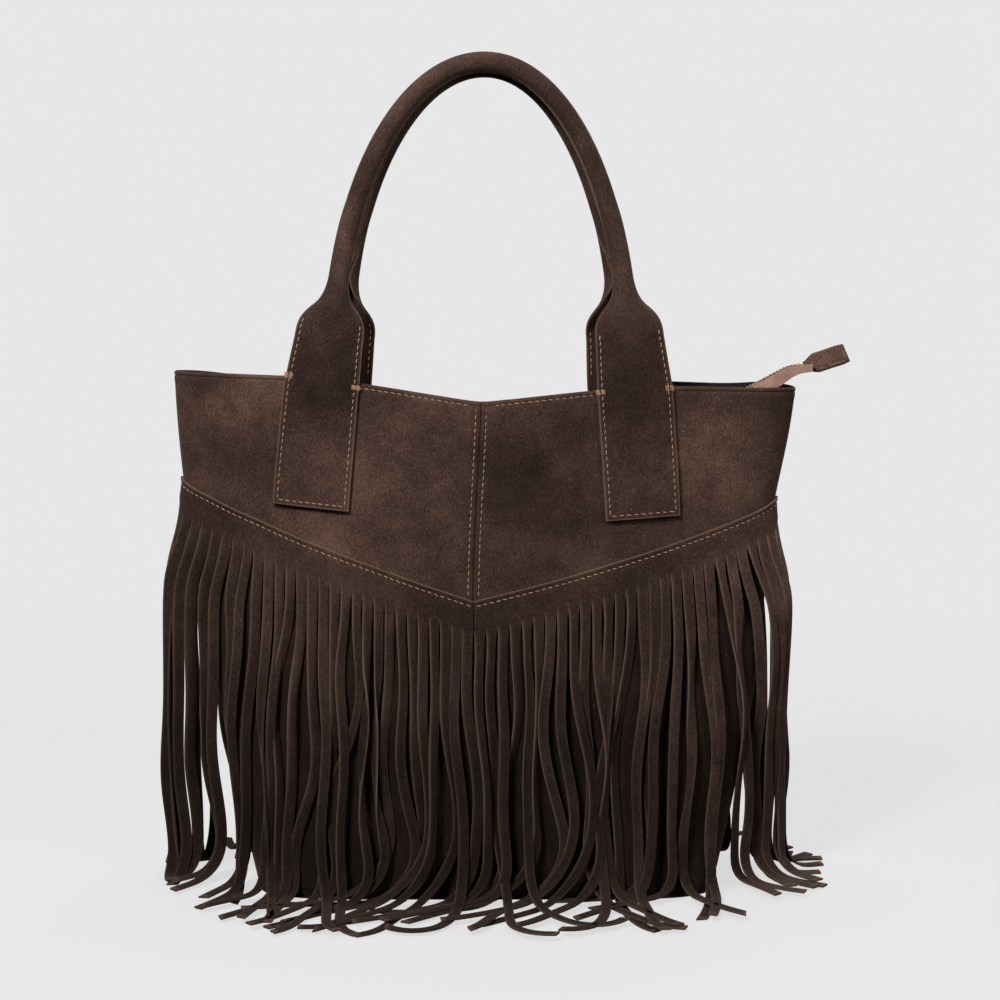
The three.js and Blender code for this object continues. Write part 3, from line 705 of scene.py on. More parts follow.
def makeLining():
    cols, wallRows = 150, 30
    along = np.linspace(0.02, 0.98, cols)
    im = insideMake

    def shell(depth):  # the walls, then rings that shrink towards the middle of the floor
        rings = []
        for r in range(wallRows):
            share = r / (wallRows - 1)
            halves = []
            for face in ("front", "back"):
                top = topEdge(along, face) - im["facingHeight"] - 1.2
                z = top + (im["liningFloor"] + depth - top) * share
                creases = 1 + np.sin(along * 61 + z / 13) * np.sin(z / 21)
                slack = im["liningSlack"] * share + 1.1 * smooth(share, 0, 0.2) * creases
                halves.append(place(face, along, z, -bagShape["thickness"] - 0.7 - depth - slack))
            rings.append(np.concatenate([halves[0], halves[1][::-1]]))
        for scale in (0.96, 0.7, 0.4, 0.1):
            rings.append(rings[wallRows - 1] * (scale, scale, 1))
        return np.array(rings)

    outer, inner = shell(0.0), shell(im["liningThickness"])
    rows, count = outer.shape[:2]
    points = np.concatenate([outer.reshape(-1, 3), inner.reshape(-1, 3)])
    faces = sheetFaces(rows, count, ring=True)
    ends = [list(range((n - 1) * count, n * count)) for n in (rows, 2 * rows)]
    rim = set(ends[0] + ends[1])
    faces = [f for f in faces if not set(f) <= rim]
    faces += [ends[0], ends[1][::-1]]
    piece = meshPiece("lining", points, faces, blackCloth)
    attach(piece, "bag")
    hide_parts("lining")


makeFacing("front")
makeFacing("back")
makeLining()
print("inside made")


fringeMake = {
    "strips": 28,
    "length": 274.0,
    "band": 17.0,
    "flare": 9.0,
    "thickness": 1.4,
    "width": 6.4,
    "sideWidth": 1.5,
    "standOff": 1.5,
    "step": 4.0,
    "across": [-1, -0.88, -0.45, 0, 0.45, 0.88, 1],
    "rounded": [0.55, 0.95, 1, 1, 1, 0.95, 0.55],
    "bandRows": [0, 0.3, 0.9, 1.8, 2.7, 3.6, 5, 7, 10, 13.5, 17],
    # raw cut edge marks across a strip; the left edge marked stronger than the right is a painted highlight
    "edgeMarks": [1, 0.3, 0, 0, 0, 0.08, 0.35],
    "layers": [0.3, 2.9, 5.5],  # how far out neighbouring strips lie
    "sways": [0.7, 1.6, 3.6],
    "floorLifts": [0, 1.5, 3.0],
    "groupSways": [(3.0, 240.0), (1.5, 112.0)],  # size and wavelength
    "lean": 5.5,
    "sideLean": 4,
    "louvre": (-0.42, 0.16),  # how far strips turn edge on, and the spread
    "rightLouvre": (0.12, 0.4),
    "rightFrom": 0.74,
    "bends": {"middle": (26, 50), "sides": (14, 28)},  # height over which they turn onto the floor
    "fullest": 0.3,
    "turnBackY": (104, 126),  # strips on the floor turn along the bag's face past here
    "turnBackX": (199, 214),
    "tones": (-0.26, 0.14),
    "litSide": (0.75, 70, 175),
    "floorZ": 0.12,
}


def wave(rnd, size, shortest, longest):
    parts = []
    for _ in range(2):
        parts.append((size * rnd.uniform(0.5, 1), rnd.uniform(shortest, longest), rnd.uniform(0, oneTurn)))
    parts.append((size * 0.18, rnd.uniform(shortest, longest) * 0.45, rnd.uniform(0, oneTurn)))
    return lambda s: sum(high * (math.sin(oneTurn * s / long + at) - math.sin(at)) for high, long, at in parts)


def groupSway(along, s):
    # neighbours swing together
    (big, bigLength), (small, smallLength) = fringeMake["groupSways"]
    shift = 1.7 * math.sin(along * 19.0) + along * 7.0
    slow = big * math.sin(oneTurn * s / bigLength + shift)
    return slow + small * math.sin(oneTurn * s / smallLength + along * 31)


def floorHeading(rnd, along, normal):
    # the way a strip's end turns on the floor: mostly left up to the middle, and mostly right beyond it
    ahead = -1.57
    chance = rnd.random()
    if along < 0.13:
        return ahead - min(0.95, abs(rnd.gauss(0.15, 0.5)))
    if along < 0.31:
        return ahead + (rnd.gauss(0, 0.12) if chance < 0.6 else -rnd.uniform(0.3, 1.0))
    if along < 0.64:
        return ahead + (-rnd.uniform(0.65, 1.3) if chance < 0.88 else rnd.uniform(-0.1, 0.35))
    if along < 0.86:
        return ahead + (rnd.uniform(-0.2, 0.9) if chance < 0.75 else -rnd.uniform(0.6, 1.2))
    return math.atan2(normal[1], normal[0]) + rnd.gauss(0.15, 0.45)


def hangStrip(rnd, along, layer, edgeLift):
    # a strip's centre line from the slit down, and the way its width lies
    fm = fringeMake
    z0 = float(chevron(along)) - fm["band"]
    start = place("front", along, z0, fm["standOff"] + edgeLift)
    normal = facing("front", along, z0)
    beside = np.array([-normal[1], normal[0], 0.0])
    side = float(np.sign(along - 0.5) * smooth(abs(along - 0.5) * 2, 0.55, 0.98))
    sway = wave(rnd, rnd.choice(fm["sways"]), 140, 300)
    lean = rnd.gauss(0, fm["lean"]) + fm["sideLean"] * side
    flare = fm["flare"] * side * rnd.uniform(0.8, 1.1)
    louvre = rnd.gauss(*fm["louvre" if along < fm["rightFrom"] else "rightLouvre"])
    twist = wave(rnd, 0.22 if rnd.random() < 0.72 else 0.7, 110, 260)
    bulk = wave(rnd, rnd.uniform(0.3, 1.4), 90, 200)
    bend = rnd.uniform(*fm["bends"]["middle" if 0.3 < along < 0.7 else "sides"])
    rest = fm["thickness"] * 0.5 + 0.35 + rnd.choice(fm["floorLifts"])
    heading = floorHeading(rnd, along, normal)
    curl = rnd.gauss(0, 0.006)
    length = fm["length"] - fm["band"] + rnd.uniform(-4, 5) + 7 * float(bump(along, fm["fullest"], 0.1))
    count = int(round(length / fm["step"]))
    step = length / count
    p = start.copy()
    points, ways, turns, sinks = [p.copy()], [], [], []
    deepest = abs(p[1])
    for k in range(count):
        s = k * step
        grown = float(smooth(s, 0, 55))
        spread = flare * float(smooth(s + step, 0, 48) - smooth(s, 0, 48))
        ds = (sway(s + step) - sway(s)) * grown
        ds += (groupSway(along, s + step) - groupSway(along, s)) * grown
        ds += lean * (1.6 / length) * (s / length) ** 0.6 * step
        ds += spread
        turn = louvre * float(smooth(s, 0, 18)) + twist(s) * float(smooth(s, 10, 90))
        away = float(smooth(s, 25, 100))
        room = fm["standOff"] + edgeLift + layer * away + 3.2 * abs(math.sin(turn)) + bulk(s) * grown
        need = float(depthAt(p[0], max(p[2] - step, 0))) + max(room, 1.3)
        deepest = max(deepest - 0.25, need)
        dn = np.clip(deepest - abs(p[1]), -1.6, 2.2)
        hang = np.array([beside[0] * ds, beside[1] * ds * 0.3, -step])
        hang[1] -= dn
        if abs(side) > 0.4:
            hang[0] += spread * 0.6
        hang /= np.linalg.norm(hang)
        sink = float(np.clip(1 - (p[2] - rest) / bend, 0, 1))
        way = np.array([math.cos(heading), math.sin(heading), 0.0])
        heading += curl * step * sink
        sideways = 1 if math.cos(heading) > 0 else -1
        heading += sideways * 0.045 * step * float(smooth(-p[1], *fm["turnBackY"])) * sink
        if p[0] < 0:
            heading += 0.05 * step * float(smooth(-p[0], *fm["turnBackX"])) * sink
        move = hang * math.sqrt(max(0, 1 - sink * sink)) + way * sink
        move /= np.linalg.norm(move)
        p = p + move * step
        p[2] = max(p[2], rest)
        points.append(p.copy())
        ways.append(way)
        turns.append(turn * (1 - sink))
        sinks.append(sink)
    ways.append(ways[-1]), turns.append(turns[-1]), sinks.append(sinks[-1])
    points = np.array(points)
    for _ in range(3):  # ease the line
        points[1:-1] = (points[:-2] + 2 * points[1:-1] + points[2:]) / 4
    points[:, 2] = np.maximum(points[:, 2], rest)
    return points, beside, np.array(ways), np.array(turns), np.array(sinks)


def bandGrid(spread, lift):
    # the uncut band over one strip, as its outer and inner points
    fm = fringeMake
    down = np.array(fm["bandRows"])
    z = chevron(spread)[None, :] - down[:, None]
    wide = np.broadcast_to(spread, z.shape)
    puff = 0.35 * bump(down, 1.4, 0.8) - 0.35 * bump(down, 3.4, 0.6) + 0.3 * bump(down, 6, 2)
    flush = 0.8 * smooth(np.abs(2 * spread - 1), 0.9, 1.0) * (1 - smooth(down, 1, 12))[:, None]
    mid = fm["standOff"] + puff[:, None] + lift * smooth(down, 4, 17)[:, None] - flush
    half = fm["thickness"] / 2
    return place("front", wide, z, mid + half), place("front", wide, z, mid - half), float(z[-1, len(spread) // 2])


def stripGrid(rnd, hung, middle, spread, pitch, slitZ):
    # one hanging strip, as its outer and inner points
    fm = fringeMake
    line, beside, ways, turns, sinks = hung
    across, rounded = np.array(fm["across"]), np.array(fm["rounded"])
    tangent = np.gradient(line, axis=0)
    tangent /= np.linalg.norm(tangent, axis=1)[:, None]
    s = np.linspace(0, fm["length"] - fm["band"], len(line))
    w = beside[None, :] * (1 - sinks[:, None] ** 2) + np.cross([0, 0, 1], ways) * sinks[:, None] ** 2
    w -= (w * tangent).sum(1)[:, None] * tangent
    w /= np.linalg.norm(w, axis=1)[:, None]
    n = np.cross(tangent, w)
    c, q = np.cos(turns)[:, None], np.sin(turns)[:, None]
    w, n = w * c + n * q, n * c - w * q
    slitPitch = pitch * totalAt(slitZ)
    narrow = (fm["width"] + fm["sideWidth"] * float(smooth(abs(2 * middle - 1), 0.72, 0.92))) / slitPitch
    widthHere = slitPitch / 2 * (1 + (narrow * rnd.uniform(0.92, 1.04) - 1) * smooth(s, 0, 9))
    cup = rnd.gauss(0, 0.5) * smooth(s, 6, 50) * (1 - sinks)
    tilt = (chevron(spread) - float(chevron(middle)))[None, :] * (1 - smooth(s, 0, 30))[:, None]
    tilt = tilt + rnd.gauss(0, 1.2) * smooth(s, s[-1] - 12, s[-1])[:, None] * across[None, :]
    centre = line[:, None, :] + w[:, None, :] * (across[None, :, None] * widthHere[:, None, None])
    centre = centre - tangent[:, None, :] * tilt[:, :, None]
    centre = centre + n[:, None, :] * (cup[:, None] * across[None, :] ** 2)[:, :, None]
    shape = 1 + (rounded[None, :] - 1) * smooth(s, 0, 8)[:, None]
    offset = n[:, None, :] * (fm["thickness"] / 2 * shape)[:, :, None]
    return centre + offset, centre - offset, s


def makeFringe(face, onLeft, seed):
    rnd = random.Random(seed)
    fm = fringeMake
    v = bagShape["vertexAlong"]
    low, high = (0.002, v - 0.0007) if onLeft else (v + 0.0007, 0.998)
    across, down = np.array(fm["across"]), np.array(fm["bandRows"])
    cols, split = len(across), len(down) - 1
    pitch = (high - low) / fm["strips"]
    points, faces, edge, shade = [], [], [], []
    base = lastLayer = 0
    for i in range(fm["strips"]):
        middle = low + pitch * (i + 0.5)
        spread = middle + across * pitch / 2
        lift = 0.2 + 2.0 * smooth(np.abs(2 * spread - 1), 0.7, 1.0)
        outer, inner, slitZ = bandGrid(spread, lift)
        lastLayer = rnd.choice([layer for layer in fm["layers"] if abs(layer - lastLayer) > 1])
        hung = hangStrip(rnd, middle, lastLayer, float(lift[cols // 2]))
        stripOuter, stripInner, s = stripGrid(rnd, hung, middle, spread, pitch, slitZ)
        stripOuter[0], stripInner[0] = outer[-1], inner[-1]
        for strip in (stripOuter, stripInner):
            strip[..., 2] = np.maximum(strip[..., 2], fm["floorZ"])
        allOuter = np.concatenate([outer[:-1], stripOuter])
        points += [allOuter.reshape(-1, 3), np.concatenate([inner[:-1], stripInner]).reshape(-1, 3)]
        rows = len(allOuter)
        marks = np.zeros((rows, cols))
        marks[1] = 0.6
        # raw cut edges, with a painted highlight making the left edge stronger
        marks[split + 1 :] = fm["edgeMarks"]
        marks[0] = marks[-1] = 1
        edge += [marks.ravel(), marks.ravel()]
        tone = rnd.uniform(*fm["tones"]) * np.concatenate([down[:-1] * 0, smooth(s, 0, 40)])
        # a random tone for each strip, plus painted light lightening the strips towards the right
        litBy, litFrom, litTo = fm["litSide"]
        tone = tone[:, None] + litBy * smooth(allOuter[..., 0], litFrom, litTo)
        shade += [tone.ravel(), tone.ravel()]
        o = base + np.arange(rows * cols).reshape(rows, cols)
        m = o + rows * cols
        for r in range(rows - 1):
            for k in range(cols - 1):
                faces.append([o[r, k], o[r, k + 1], o[r + 1, k + 1], o[r + 1, k]])
                faces.append([m[r, k], m[r + 1, k], m[r + 1, k + 1], m[r, k + 1]])
            if r >= split or i == 0:
                faces.append([o[r, 0], o[r + 1, 0], m[r + 1, 0], m[r, 0]])
            if r >= split or i == fm["strips"] - 1:
                faces.append([o[r, -1], m[r, -1], m[r + 1, -1], o[r + 1, -1]])
        for k in range(cols - 1):
            faces.append([o[0, k], m[0, k], m[0, k + 1], o[0, k + 1]])
            faces.append([o[-1, k], o[-1, k + 1], m[-1, k + 1], m[-1, k]])
        base += 2 * rows * cols
    points = np.concatenate(points)
    if face == "back":
        points[:, 1] *= -1
    faces = [[int(k) for k in f] for f in faces]
    name = f"{face}Fringe{'Left' if onLeft else 'Right'}"
    edge, shade = np.concatenate(edge), np.concatenate(shade)
    piece = meshPiece(name, points, faces, fringeSuede, edge, merge=0.004, shade=shade)
    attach(piece, "bag")
    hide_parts(f"{face}_fringe_{'left' if onLeft else 'right'}")


for faceName, seeds in (("front", (11, 23)), ("back", (37, 41))):
    makeFringe(faceName, True, seeds[0])
    makeFringe(faceName, False, seeds[1])
print("fringe made")


handleMake = {
    "tabLow": {-1: (-110.0, 246.6), 1: (98.8, 240.0)},
    "fold": {-1: (-103.2, 321.0), 1: (93.6, 321.0)},
    "neck": {-1: (-92.5, 390.0), 1: (86.5, 390.0)},
    "neckArm": {-1: (-80.5, 472.0), 1: (74.5, 472.0)},
    "apexArm": {-1: (-43.0, 525.5), 1: (40.0, 525.5)},
    "apex": (-1.0, 525.5),
    "foldZ": 321.0,
    "neckZ": 392.0,
    "apexZ": 525.5,
    "shoulderZ": 352.0,
    "shoulderWidth": 43.0,
    "topWidth": 47.4,
    "bottomWidth": 48.8,
    "tabThickness": 2.6,
    "wallThickness": 1.7,
    "tubeRadius": 6.5,
    "roll": 6.12,
    "wrap": -2.0,
    "wrapStart": 388,
    "wrapEnd": 440,
    "standOff": 3.5,
    "foldX": 98,
    "foldBlend": 12,
    "wallTop": 345,
    "apexGap": 0.25,
    "stitchIn": 2.8,
    "stitchReach": 117.0,
    "backScale": 0.962,
    "backDrop": 2.0,
    "strip": 0.048,
}


def handleLine(face):
    # from the left tab's end, over the arch, to the right tab's end
    hm = handleMake
    halves = []
    for side in (-1, 1):
        low, fold, neck = (np.array(hm[k][side]) for k in ("tabLow", "fold", "neck"))
        t = np.linspace(0, 1, 50)[:, None]
        leg = np.concatenate([low + (fold - low) * t, (fold + (neck - fold) * t)[1:]])
        t = np.linspace(0, 1, 121)[1:, None]
        points = [neck, np.array(hm["neckArm"][side]), np.array(hm["apexArm"][side]), np.array(hm["apex"])]
        weights = [(1 - t) ** 3, 3 * t * (1 - t) ** 2, 3 * t * t * (1 - t), t ** 3]
        halves.append(np.concatenate([leg, sum(w * q for w, q in zip(weights, points))]))
    line = np.concatenate([halves[0], halves[1][::-1][1:]])
    for _ in range(14):
        line[1:-1] = (line[:-2] + 2 * line[1:-1] + line[2:]) / 4
    if face == "back":
        line[:, 0] *= hm["backScale"]
        line[:, 1] -= hm["backDrop"] * smooth(line[:, 1], 400, 500)
    return line, runOf(np.hypot(*np.diff(line, axis=0).T))


handleLines = {"front": handleLine("front"), "back": handleLine("back")}


def handleSurface(face, s, v, depth):
    # s runs along the strip from one tab's end to the other, v across it, depth in from its outer face
    hm = handleMake
    path, run = handleLines[face]
    s, v, depth = np.broadcast_arrays(*(np.asarray(values, float) for values in (s, v, depth)))
    (x, z), (ax, az), (bx, bz) = [[np.interp(s + by, run, path[:, k]) for k in (0, 1)] for by in (0, -2, 2)]
    size = np.hypot(bx - ax, bz - az)
    tx, tz = (bx - ax) / size, (bz - az) / size
    roll = smooth(z, hm["shoulderZ"], hm["neckZ"])
    angle = 0.05 + (hm["roll"] - 0.05) * roll
    thick = hm["tabThickness"] + (hm["wallThickness"] - hm["tabThickness"]) * smooth(z, hm["foldZ"], hm["neckZ"])
    tabWidths = hm["bottomWidth"], hm["topWidth"], hm["shoulderWidth"]
    tabWidth = np.interp(z, (245, hm["foldZ"], hm["shoulderZ"]), tabWidths)
    tubeWidth = (hm["tubeRadius"] - hm["wallThickness"] / 2) * hm["roll"]
    width = tabWidth + (tubeWidth - tabWidth) * roll
    radius = width / angle + thick / 2
    # the strip closes to a tube whose seam runs up the arch's inner side
    wrap = hm["wrap"] * smooth(z, hm["wrapStart"], hm["wrapEnd"])
    theta = v * angle / 2 + wrap
    r = radius - depth * thick
    low, high = np.maximum(wrap - angle / 2, -math.pi / 2), np.minimum(wrap + angle / 2, math.pi / 2)
    middle = radius * (np.sin(low) + np.sin(high)) / 2
    sideways, inwards = r * np.sin(theta) - middle, radius - r * np.cos(theta)
    across = x + tz * sideways
    foldDepth = depthAt(hm["foldX"], hm["foldZ"])
    atFold = foldDepth + hm["standOff"]
    climb = np.clip((z - hm["foldZ"]) / (hm["apexZ"] - hm["foldZ"]), 0, 1)
    crown = atFold + (2 * hm["tubeRadius"] + hm["apexGap"] - atFold) * climb
    follow = (depthAt(across, hm["foldZ"]) - foldDepth) * (1 - smooth(z, hm["foldZ"], hm["neckZ"]))
    free = np.stack([across, -(crown + follow - inwards), z - tx * sideways], -1)
    onWallZ = np.minimum(z, hm["wallTop"])
    along = alongOf(x, onWallZ) + tz * v * width / 2 / totalAt(onWallZ)
    onWallZ = np.minimum(z - tx * v * width / 2, hm["wallTop"])
    turnIn = 0.35 * bump(1 - np.abs(v), 0, 0.03)
    groove = 0.3 * bump((1 - np.abs(v)) * width / 2, hm["stitchIn"], 0.7)
    sewn = place("front", along, onWallZ, hm["standOff"] - turnIn - groove * (1 - depth) - depth * thick)
    if face == "back":  # lie on the back's own swells
        swell, other = [
            place(side, along, onWallZ) - place(side, along, onWallZ, plain=True) for side in ("front", "back")
        ]
        sewn = sewn - swell + other * (1, -1, 1)
    share = smooth(z, hm["foldZ"] - hm["foldBlend"], hm["foldZ"] + hm["foldBlend"])[..., None]
    made = sewn * (1 - share) + free * share
    if face == "back":
        made[..., 1] *= -1
    return made


def makeHandle(face):
    v = np.concatenate([[-1, -0.985], np.linspace(-0.94, 0.94, 33), [0.985, 1]])
    total = handleLines[face][1][-1]
    near = np.array([0, 0.35, 1, 2, 3, 4.2])
    s = np.concatenate([near, np.linspace(6, total - 6, 300), total - near[::-1]])
    outer = handleSurface(face, s[:, None], v[None, :], 0.0)
    inner = handleSurface(face, s[:, None], v[None, :], 1.0)
    z = outer[..., 2]
    rise = smooth(z, 268, 322)  # painted shade about the fold, and painted light making the right tab lighter
    paintedShadeAndLight = -0.4 * rise * (1 - smooth(z, 356, 396)) + 0.12 * (outer[..., 0] > 0) * (1 - rise)
    piece = sheetPiece(f"{face}Handle", outer, inner, handleSuede, ("top", "bottom", "left", "right"), paintedShadeAndLight)
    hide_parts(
        f"{face}_handle_cover", f"{face}_handle_core", f"{face}_handle_tab_left", f"{face}_handle_tab_right"
    )
    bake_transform(piece)


for faceName in ("front", "back"):
    makeHandle(faceName)
print("handles made")


stitchMake = {
    "pitch": 4.2,
    "length": 3.0,
    "thick": 0.29,
    "sink": 0.05,
    "slant": 0.12,
    "bow": 0.16,
    "jitter": 0.15,
    "belowChevron": 3.5,
    "tackAlong": (0.25, 0.74),
    "tackHalfWidth": 0.055,
    "tackBars": 5,
    "tackSpacing": 0.62,
    "tackPitch": 2.6,
}


def stitchRow(path, normals, rnd, pitch=None):
    # one short rounded bar for each stitch along the path
    sm = stitchMake
    pitch = pitch or sm["pitch"]
    run = lineRun(path)
    count = max(1, int(run[-1] / pitch))
    centres = (np.arange(count) + 0.5) * run[-1] / count
    rings = [(-1, 0.25), (-0.8, 0.8), (0, 1.0), (0.8, 0.8), (1, 0.25)]
    sides = 6
    points, faces = [], []
    for at in centres:
        at = at + rnd.uniform(-sm["jitter"], sm["jitter"])
        c, n, a, b = [
            np.array([np.interp(spot, run, line[:, k]) for k in range(3)])
            for spot, line in ((at, path), (at, normals), (at - 0.6, path), (at + 0.6, path))
        ]
        t = b - a
        t /= np.linalg.norm(t)
        n -= (n @ t) * t
        n /= np.linalg.norm(n)
        w = np.cross(t, n)
        slant = sm["slant"] + rnd.gauss(0, 0.05)
        t = t * math.cos(slant) + w * math.sin(slant)
        w = np.cross(t, n)
        base = len(points)
        for x, r in rings:
            for k in range(sides):
                turn = 2 * math.pi * k / sides
                lift = math.sin(turn) * sm["thick"] * r * 0.85 + sm["sink"] - sm["bow"] * x * x
                points.append(c + t * x * sm["length"] / 2 + w * math.cos(turn) * sm["thick"] * r + n * lift)
        faces += ringFaces([(r, r + 1) for r in range(len(rings) - 1)], sides, base)
        faces.append([base + k for k in range(sides)][::-1])
        faces.append([base + (len(rings) - 1) * sides + k for k in range(sides)])
    return points, faces


def joinRows(rows):
    points, faces = [], []
    for p, f in rows:
        faces += [[k + len(points) for k in face] for face in f]
        points += p
    return points, faces


def rowOn(face, along, z, out):
    return place(face, along, z, out), facing(face, along, z)


def shellStitches(face, seed):
    rnd = random.Random(seed)
    rows = []
    for low, high in ((0.295, centreSeam(312) - 0.008), (centreSeam(312) + 0.008, 0.685)):
        along = np.linspace(low, high, 160)
        z = topEdge(along, face) - yokeMake["stitchIn"]
        rows.append(stitchRow(*rowOn(face, along, z, turnedEdge(yokeMake["stitchIn"]) + 0.1), rnd))
    for side in (-1, 1):
        z = np.linspace(float(topEdge(0.49, face)) - 3.4, bagShape["seamVertex"] + 2.5, 120)
        along = centreSeam(z) + side * yokeMake["seamStitchIn"] / totalAt(z)
        rows.append(stitchRow(*rowOn(face, along, z, float(sewnSeam(yokeMake["seamStitchIn"])) + 0.1), rnd))
    for low, high in ((0.006, bagShape["vertexAlong"] - 0.003), (bagShape["vertexAlong"] + 0.003, 0.994)):
        along = np.linspace(low, high, 200)
        z = chevron(along) - stitchMake["belowChevron"]
        lift = fringeMake["standOff"] + fringeMake["thickness"] / 2 - 0.2
        mirror = (1, -1 if face == "back" else 1, 1)  # the back fringe is the front one's mirror
        path, outward = rowOn("front", along, z, lift)
        rows.append(stitchRow(path * mirror, outward * mirror, rnd))
    points, faces = joinRows(rows)
    piece = meshPiece(f"{face}Stitches", points, faces, tanThread)
    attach(piece, "bag")


def handleStitches(face, seed):
    rnd = random.Random(seed)
    hm, sm = handleMake, stitchMake
    path, run = handleLines[face]
    total = run[-1]

    def sides(s, v, backV=None):  # the strip's outer and inner face along a row
        return handleSurface(face, s, v, 0.0), handleSurface(face, s, v if backV is None else backV, 1.0)

    rows = []
    for end in (0, 1):
        for v in (-1, 1):
            fromEnd = np.linspace(hm["stitchIn"], hm["stitchReach"], 140)
            s = fromEnd if end == 0 else total - fromEnd
            tabWidths = hm["bottomWidth"], hm["topWidth"], hm["shoulderWidth"]
            width = np.interp(s if end == 0 else total - s, (0, 75, 106), tabWidths)
            front, back = sides(s, v * (1 - 2 * hm["stitchIn"] / width))
            rows.append(stitchRow(front, front - back, rnd))
            free = front[:, 2] > hm["foldZ"] + 4  # above the mouth the thread shows on both faces
            rows.append(stitchRow(back[free], (back - front)[free], rnd))
        s = hm["stitchIn"] if end == 0 else total - hm["stitchIn"]
        front, back = sides(np.full(40, s), np.linspace(-0.87, 0.87, 40))
        rows.append(stitchRow(front, front - back, rnd))
    points, faces = joinRows(rows)
    piece = meshPiece(f"{face}HandleStitches", points, faces, tanThread)
    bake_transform(piece)
    tacks = []  # bars across both edges of each tab at the mouth
    for end in (0, 1):
        for v in (-1, 1):
            spot = sm["tackAlong"][end] + sm["tackHalfWidth"] * (1 if (v > 0) == (end == 0) else -1)
            height = float(topEdge(spot, face)) - 1.2 + 1.4 * v
            rise = path[:100, 1] if end == 0 else path[::-1][:100, 1]
            runs = run[:100] if end == 0 else run[::-1][:100]
            s = float(np.interp(height, rise, runs))
            for k in range(sm["tackBars"]):
                at = np.full(12, s + (k - 2) * sm["tackSpacing"])
                front, back = sides(at, np.linspace(0.80, 1.045, 12) * v, np.full(12, v * 0.8))
                tacks.append(stitchRow(front, front - back, rnd, pitch=sm["tackPitch"]))
    points, faces = joinRows(tacks)
    tack = meshPiece(f"{face}BarTacks", points, faces, tackThread)
    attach(tack, "bag")


for faceName, seed in (("front", 5), ("back", 6)):
    shellStitches(faceName, seed)
    handleStitches(faceName, seed + 20)
print("stitches made")


zipMake = {
    "leftX": -178.0,
    "mergeStart": 82.0,
    "mergeEnd": 138.0,
    "tailEnd": 209.0,
    "chainEnd": 201.0,
    "sewnBelow": 20.0,
    "layersOutside": 1.6 + 1.2 + 1.5,  # suede, facing and room
    "width": 11.0,
    "knee": 2.0,
    "thickness": 0.7,
    "chainHalfGap": 1.1,
    "chainWidth": 2.4,
    "slope": 0.54,
    "tailX": 183.5,
    "tailZ": 327.5,
    "foldStart": 178.0,
    "foldEnd": 188.0,
    "openFold": math.radians(45),
    "tailFold": math.radians(75),
    "droop": (7.0, 191, 213),  # the tail's end sinks by this much between these places
    "tuck": (4.4, 188, 204),  # and its tapes are folded narrower
    "ripple": 0.35,
    "toothPitch": 2.4,
    "tooth": (1.25, 2.3, 1.9),
}


def ridge(x):  # height of the middle of the shut zip
    droop, start, end = zipMake["droop"]
    return zipMake["tailZ"] + zipMake["slope"] * (x - zipMake["tailX"]) - droop * smooth(x, start, end)


def tapeLines(side, x):
    zm = zipMake
    merge = smooth(x, zm["mergeStart"], zm["mergeEnd"])[:, None]
    along = alongOf(x, np.full(len(x), 311.0))
    sewnZ = topEdge(along) - zm["sewnBelow"]
    inside = depthAt(x, sewnZ) - (zm["layersOutside"] + zm["thickness"])
    innermost = zm["chainHalfGap"] + zm["chainWidth"]
    fold = zm["openFold"] + (zm["tailFold"] - zm["openFold"]) * smooth(x, zm["foldStart"], zm["foldEnd"])
    reach = np.clip(inside - innermost, 0, zm["width"] * 0.9)
    fallen = np.sqrt(zm["width"] ** 2 - reach ** 2)
    sewnOpen = np.stack([x, side * inside, sewnZ], -1)
    toothedOpen = np.stack([x, side * (inside - reach), sewnZ - fallen], -1)
    toothedShut = np.stack([x, np.full(len(x), side * innermost), ridge(x)], -1)
    kneeShut = toothedShut + (0, side * zm["knee"], 0)
    tuck, tuckStart, tuckEnd = zm["tuck"]
    folded = (zm["width"] - zm["knee"] - tuck * smooth(x, tuckStart, tuckEnd))[:, None]
    sewnShut = kneeShut + folded * np.stack([0 * x, side * np.cos(fold), -np.sin(fold)], -1)
    kneeOpen = toothedOpen + (sewnOpen - toothedOpen) * zm["knee"] / zm["width"]
    pairs = (toothedOpen, toothedShut), (kneeOpen, kneeShut), (sewnOpen, sewnShut)
    return [apart + (shut - apart) * merge for apart, shut in pairs]


def makeTape(face, side):
    zm = zipMake
    x = np.linspace(zm["leftX"], zm["tailEnd"], 190)
    toothed, knee, sewn = tapeLines(side, x)
    rows = [toothed, (toothed + knee) / 2, knee, knee + (sewn - knee) * 0.33, knee + (sewn - knee) * 0.66, sewn]
    grid = np.array(rows)
    up = np.cross(np.gradient(grid, axis=1), np.gradient(grid, axis=0))
    up /= np.linalg.norm(up, axis=2)[..., None]
    ripple = zm["ripple"] * np.sin(x / 7.0 + side)[None, :, None] * np.linspace(0, 1, 6)[:, None, None]
    grid = grid + up * ripple * smooth(x, 100, 150)[None, :, None]
    half = zm["thickness"] / 2
    piece = sheetPiece(f"zipTape{face.capitalize()}", grid + up * half, grid - up * half, tanTape)
    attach(piece, "bag")
    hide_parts(f"zip_tape_{face}")


def deselect():
    for other in bpy.context.selected_objects:
        other.select_set(False)


def moveBy(piece, way):
    piece.data.transform(Matrix.Translation(Vector(way) * mm))


def roundedBlock(size, at, bevel, segments=2):
    deselect()
    bpy.ops.mesh.primitive_cube_add(size=1, location=(0, 0, 0))
    block = bpy.context.object
    block.data.transform(Matrix.Diagonal((*(side * mm for side in size), 1)))
    moveBy(block, at)
    bev = block.modifiers.new("bevel", "BEVEL")
    bev.width = bevel * mm
    bev.segments = segments
    bpy.ops.object.modifier_apply(modifier=bev.name)
    return block


